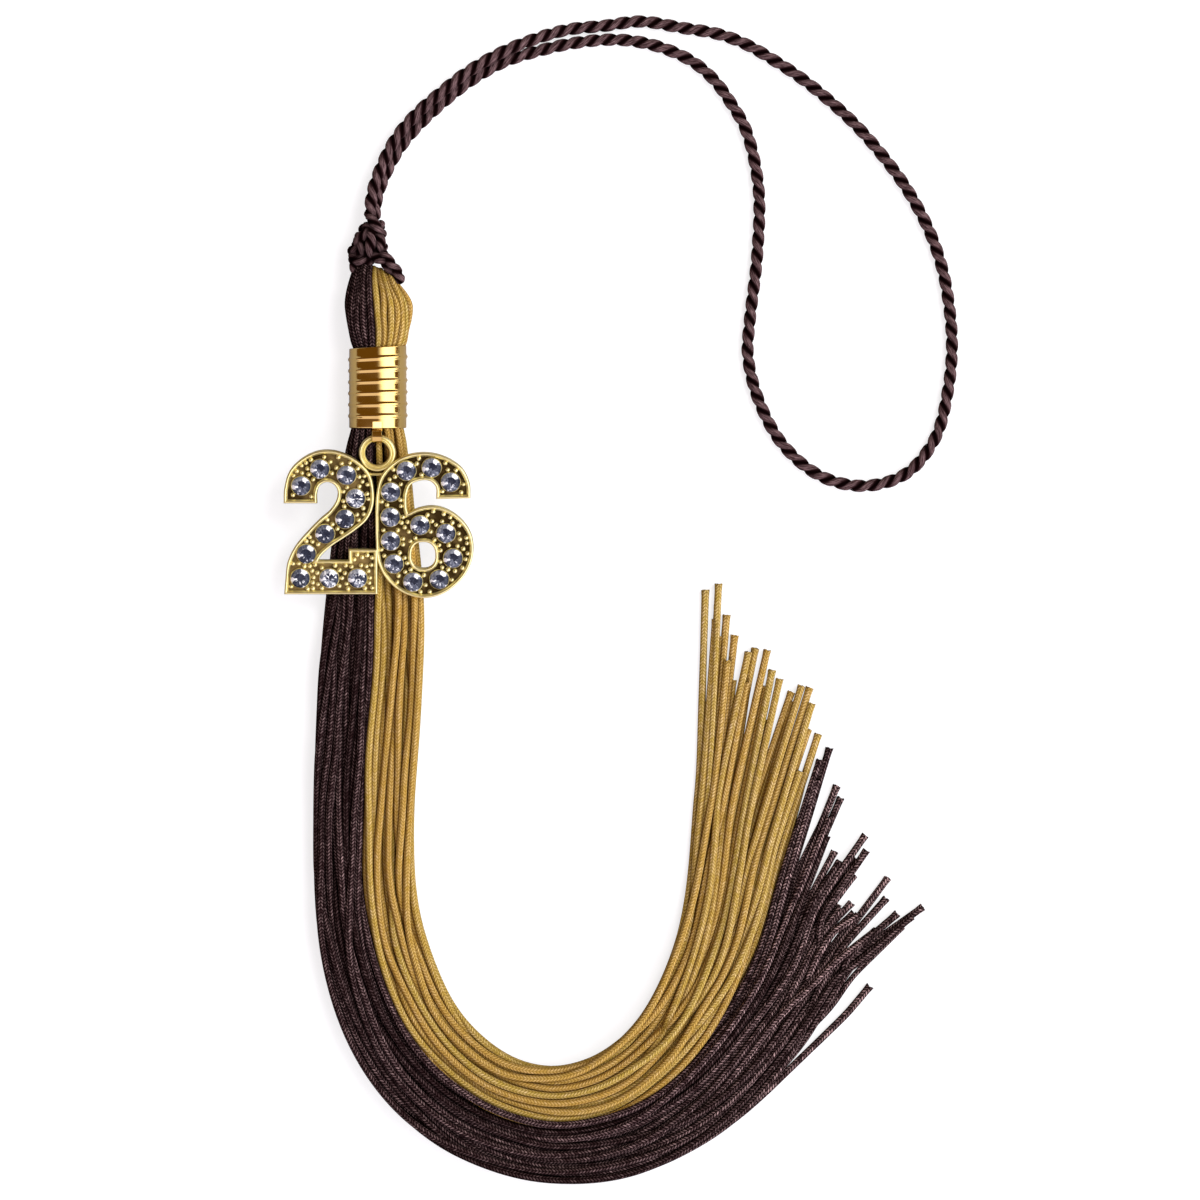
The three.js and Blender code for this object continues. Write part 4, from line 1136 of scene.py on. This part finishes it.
def bead(x, y, radius):
    """A low dome on the charm's floor."""
    verts = [(x, y, FLOOR_LEVEL + radius * 1.1)]
    for reach, lift in BEAD_DOME:
        verts += level_ring(x, y, FLOOR_LEVEL + radius * lift, radius * reach, BEAD_SIDES)
    faces = [(0, 1 + k, 1 + (k + 1) % BEAD_SIDES) for k in range(BEAD_SIDES)]
    faces += turned_over(skin(len(BEAD_DOME), BEAD_SIDES, 1))
    faces.append(tuple(range(len(verts) - 1, len(verts) - 1 - BEAD_SIDES, -1)))
    return verts, faces


CAST_BRIGHT, CAST_DULL = (0.90, 0.80, 0.39, 1), (0.82, 0.70, 0.29, 1)
FLOOR_DARK, FLOOR_TAN = (0.044, 0.024, 0.003, 1), (0.31, 0.215, 0.070, 1)
cast_gold, cast_tree, cast_shader = new_material("cast_gold")
cast_colour, cast_roughness = plating(cast_tree, CAST_BRIGHT, CAST_DULL, smoothest=0.28, roughest=0.38)
floor_and_foot_shade = attribute(cast_tree, "floor_and_foot_shade")
cast_place = shader_node(cast_tree, "ShaderNodeTexCoord").outputs["Object"]
cast_clouds = noise(cast_tree, 330.0, 2.0, cast_place)
floor_tone_mix = maths(cast_tree, "ADD", cast_clouds, attribute(cast_tree, "floor_tone_shift"))
floor_colour = blended(cast_tree, remapped(cast_tree, floor_tone_mix, 0.42, 0.76), FLOOR_DARK, FLOOR_TAN)
# The floor mask gives the charm's floor its own darker colour, and paints the same dark colour as shade
# round the feet of the beads and the stones' seats.
feed(cast_tree, cast_shader, {
    "Base Color": blended(cast_tree, floor_and_foot_shade, cast_colour, floor_colour),
    "Roughness": maths(cast_tree, "ADD", cast_roughness, product(cast_tree, floor_and_foot_shade, 0.25)),
    "Metallic": 0.87,
})

RING_SHAPE = [  # reach and height, from the eye's rim round to the back
    (1.89, -0.3), (1.89, 0.15), (1.93, 0.36), (2.02, 0.45), (2.1, 0.36), (2.16, 0.24), (2.32, 0.2),
    (2.42, 0.3), (2.5, 0.46), (2.64, 0.56), (2.78, 0.5), (2.88, 0.34), (2.93, 0.1), (2.93, -0.3),
    (2.7, -0.5), (2.12, -0.5),
]
RING_MIDDLE, RING_SIDES = -2.4, 72
WEB = [(-1.65, -5.75), (1.35, -5.75), (1.1, -5.0), (0.6, -4.75), (-0.9, -4.75), (-1.5, -5.0)]
WEB_BAR = [(-1.7, -5.62), (-0.9, -5.78), (-0.15, -5.82), (0.6, -5.78), (1.4, -5.62)]
BAR_SHAPE = [(0.2, -0.4), (0.2, 0.2), (0.13, 0.38), (0.0, 0.46), (-0.13, 0.38), (-0.2, 0.2), (-0.2, -0.4)]
SEAT_SIDES = 36
SEAT_SHAPE = [
    (STONE_RADIUS - 0.05, 0.05), (STONE_RADIUS - 0.05, 0.42), (STONE_RADIUS + 0.02, 0.52),
    (STONE_RADIUS + 0.09, 0.46), (SEAT_REACH, 0.05),
]
web_verts = [(x, y, z) for z in (-0.5, 0.05) for x, y in WEB]
bar_verts = [(x, y + across, z) for x, y in WEB_BAR for across, z in BAR_SHAPE]
numeral_parts = [
    numeral(two_outline),
    numeral(six_outline, counter_outline),
    (web_verts, capped_skin(2, len(WEB))),
]
ring_parts = [
    turned_ring(RING_SHAPE, 0.0, RING_MIDDLE, RING_SIDES),
    (bar_verts, turned_over(capped_skin(len(WEB_BAR), len(BAR_SHAPE)))),
]
bead_chance = random.Random(5)
bead_spots = bead_places(two_outline, None, STONES["two"], bead_chance, spacing=0.82, loosest=1.6)
bead_spots += bead_places(
    six_outline, counter_outline, STONES["six"], bead_chance, spacing=0.88, loosest=0.6
)
floor_parts = [bead(x, y, BEAD_RADIUS * bead_chance.uniform(0.92, 1.06)) for x, y in bead_spots]
floor_parts += [turned_ring(SEAT_SHAPE, x, y, SEAT_SIDES) for places in STONES.values() for x, y in places]
charm_verts, charm_faces = gathered(numeral_parts + ring_parts + floor_parts)
charm = mesh_object("charm_numerals", on_charm(charm_verts), charm_faces, cast_gold)
ring_from = sum(len(verts) for verts, _ in numeral_parts)
beads_from = ring_from + sum(len(verts) for verts, _ in ring_parts)
# The floor mask: 1 on the numerals' floor, fading up the lower part of the rims' inner walls, and 1 at the
# feet of the beads and seats, where it is painted shade.
recessed, floor_tone_shift = [], []
for index, (x, y, z) in enumerate(charm_verts):
    sunk = 0.0
    if index < ring_from and z > 0:
        sunk = held((0.45 - z) / 0.25)
    elif index >= beads_from:
        sunk = held((0.26 - z) / 0.2)
    recessed.append(sunk)
    # The floor is made lighter toward the lower left of the two and darker over the six.
    floor_tone_shift.append(0.22 * held((-0.6 - x) / 0.8) * held((-14.0 - y) / 5.0) - 0.1 * (x > -0.3))
store(charm, "floor_and_foot_shade", recessed)
store(charm, "floor_tone_shift", floor_tone_shift)
charm.data.set_sharp_from_angle(angle=math.radians(50))
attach(charm, "charm")
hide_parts("charm_plate")

# Rhinestones: round foil-backed glass stones glued in their seats, each cut with a flat table, a ring of
# kite-shaped facets and small girdle facets. Each facet's colour is a painted reflection: dark and light
# wedges with painted highlights and glints, laid as if lit from the upper right.
STONE_FOOT = FLOOR_LEVEL + 0.3
STONE_RINGS = [  # share of the radius, height, and how far the ring is turned, in facets
    (0.3, 0.8, 0.0), (0.58, 0.8, 0.5), (0.8, 0.58, 0.0), (1.0, 0.26, 0.5), (0.9, 0.0, 0.5),
]
WEDGES = 20
STONE_PAINTED_BRIGHTNESS = {  # stones whose painted reflection is brighter or darker than the others', the brighter ones with more painted glints
    "two_4": 0.1, "two_5": -0.28, "two_6": -0.28, "two_7": -0.28,
    "two_8": -0.3, "two_9": 0.15, "two_10": 0.13,
}
# Colours of the painted reflection, from painted shadow to a white painted highlight.
STONE_COLOURS = [
    (0.0, (0.005, 0.006, 0.013)), (0.25, (0.022, 0.026, 0.044)), (0.5, (0.098, 0.108, 0.145)),
    (0.75, (0.32, 0.34, 0.38)), (1.0, (0.97, 0.97, 0.96)),
]
STONE_HAZE = (0.24, 0.26, 0.31, 1)


def painted_reflection_tone(x, y, depth, chance):
    """The painted reflection's brightness at a place on a stone of radius 1, laid as if lit from the upper
    right: a dark patch, pale and white highlights and glints.
    """
    turn = math.degrees(math.atan2(y, x)) % 360
    reach = math.hypot(x, y)
    fan = int(turn // 18) % 2
    tone = 0.38 + 0.16 * fan + chance.uniform(-0.12, 0.12) + depth * 0.8
    if math.hypot(x - 0.16, y - 0.24) < 0.44:
        tone = 0.04 + 0.2 * fan * chance.random() + chance.uniform(0, 0.1)
        tone += max(depth, 0) * chance.random() * 2
    if y < -0.2 and reach > 0.35 and chance.random() < 0.16 + max(depth, 0) * 0.8:
        tone = 0.86
    if reach > 0.6 and 78 < turn < 172:
        tone = 0.70 + chance.uniform(-0.16, 0.08) + depth * 0.5
    if reach > 0.56 and 36 < turn < 78:
        tone = 0.98
    if reach > 0.3 and 176 < turn < 200:
        tone = 0.98
    if reach > 0.5 and (turn < 22 or turn > 322):
        tone = 0.10 + chance.uniform(0, 0.2)
    if reach > 0.7 and 205 < turn < 250:
        tone = 0.28 + chance.uniform(-0.1, 0.1)
    if depth > 0 and chance.random() < depth:
        tone = 0.97
    return held(tone)


def stone_mesh(x, y, depth, chance):
    """One stone's points, facets and the painted reflection tone of each facet."""
    turn = chance.uniform(-0.2, 0.2)
    points = [(x, y, STONE_FOOT + 0.8)]
    for share, height, offset in STONE_RINGS:
        ring_turn = turn + offset * 2 * math.pi / WEDGES
        points += level_ring(x, y, STONE_FOOT + height, STONE_RADIUS * share, WEDGES, ring_turn)
    faces = [(0, 1 + step, 1 + (step + 1) % WEDGES) for step in range(WEDGES)]
    for ring, (before, after) in enumerate(zip(STONE_RINGS, STONE_RINGS[1:])):
        walls = turned_over(skin(2, WEDGES, 1 + ring * WEDGES))
        for low, high, high_next, low_next in walls:
            if after[2] > before[2]:
                faces += [(low, high, low_next), (low_next, high, high_next)]
            elif after[2] < before[2]:
                faces += [(low, high, high_next), (low, high_next, low_next)]
            else:
                faces.append((low, high, high_next, low_next))
    faces.append(tuple(range(len(points) - 1, len(points) - 1 - WEDGES, -1)))
    tones = []
    for face in faces:
        middle = np.mean([points[index][:2] for index in face], axis=0)
        tones.append(painted_reflection_tone(*(middle - (x, y)) / STONE_RADIUS, depth, chance))
    return points, faces, tones


rhinestone, stone_tree, stone_shader = new_material("rhinestone_painted_reflections")
stone_ramp = shader_node(stone_tree, "ShaderNodeValToRGB", {"Fac": attribute(stone_tree, "tone")})
while len(stone_ramp.color_ramp.elements) < len(STONE_COLOURS):
    stone_ramp.color_ramp.elements.new(0.5)
for element, (place, colour) in zip(stone_ramp.color_ramp.elements, STONE_COLOURS):
    element.position = place
    element.color = (*colour, 1)
stone_place = shader_node(stone_tree, "ShaderNodeTexCoord").outputs["Object"]
stone_cloud = remapped(stone_tree, noise(stone_tree, 900.0, 1.0, stone_place), 0.4, 0.75, 0.0, 0.08)
feed(stone_tree, stone_shader, {
    "Base Color": blended(stone_tree, stone_cloud, stone_ramp.outputs["Color"], STONE_HAZE),
    "Roughness": 0.06,
    "Specular IOR Level": 0.15,
    "Coat Weight": 0.05,
    "Coat Roughness": 0.03,
})

for numeral_name, places in STONES.items():
    for number, (x, y) in enumerate(places, start=1):
        depth = STONE_PAINTED_BRIGHTNESS.get(f"{numeral_name}_{number}", 0.0)
        points, facets, tones = stone_mesh(x, y, depth, random.Random(f"{numeral_name}{number}"))
        name = f"facets_{numeral_name}_{number}"
        stone = mesh_object(name, on_charm(points), facets, rhinestone, smooth=False)
        store(stone, "tone", tones, "FACE")
        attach(stone, "charm")
        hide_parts(f"stone_{numeral_name}_{number}")
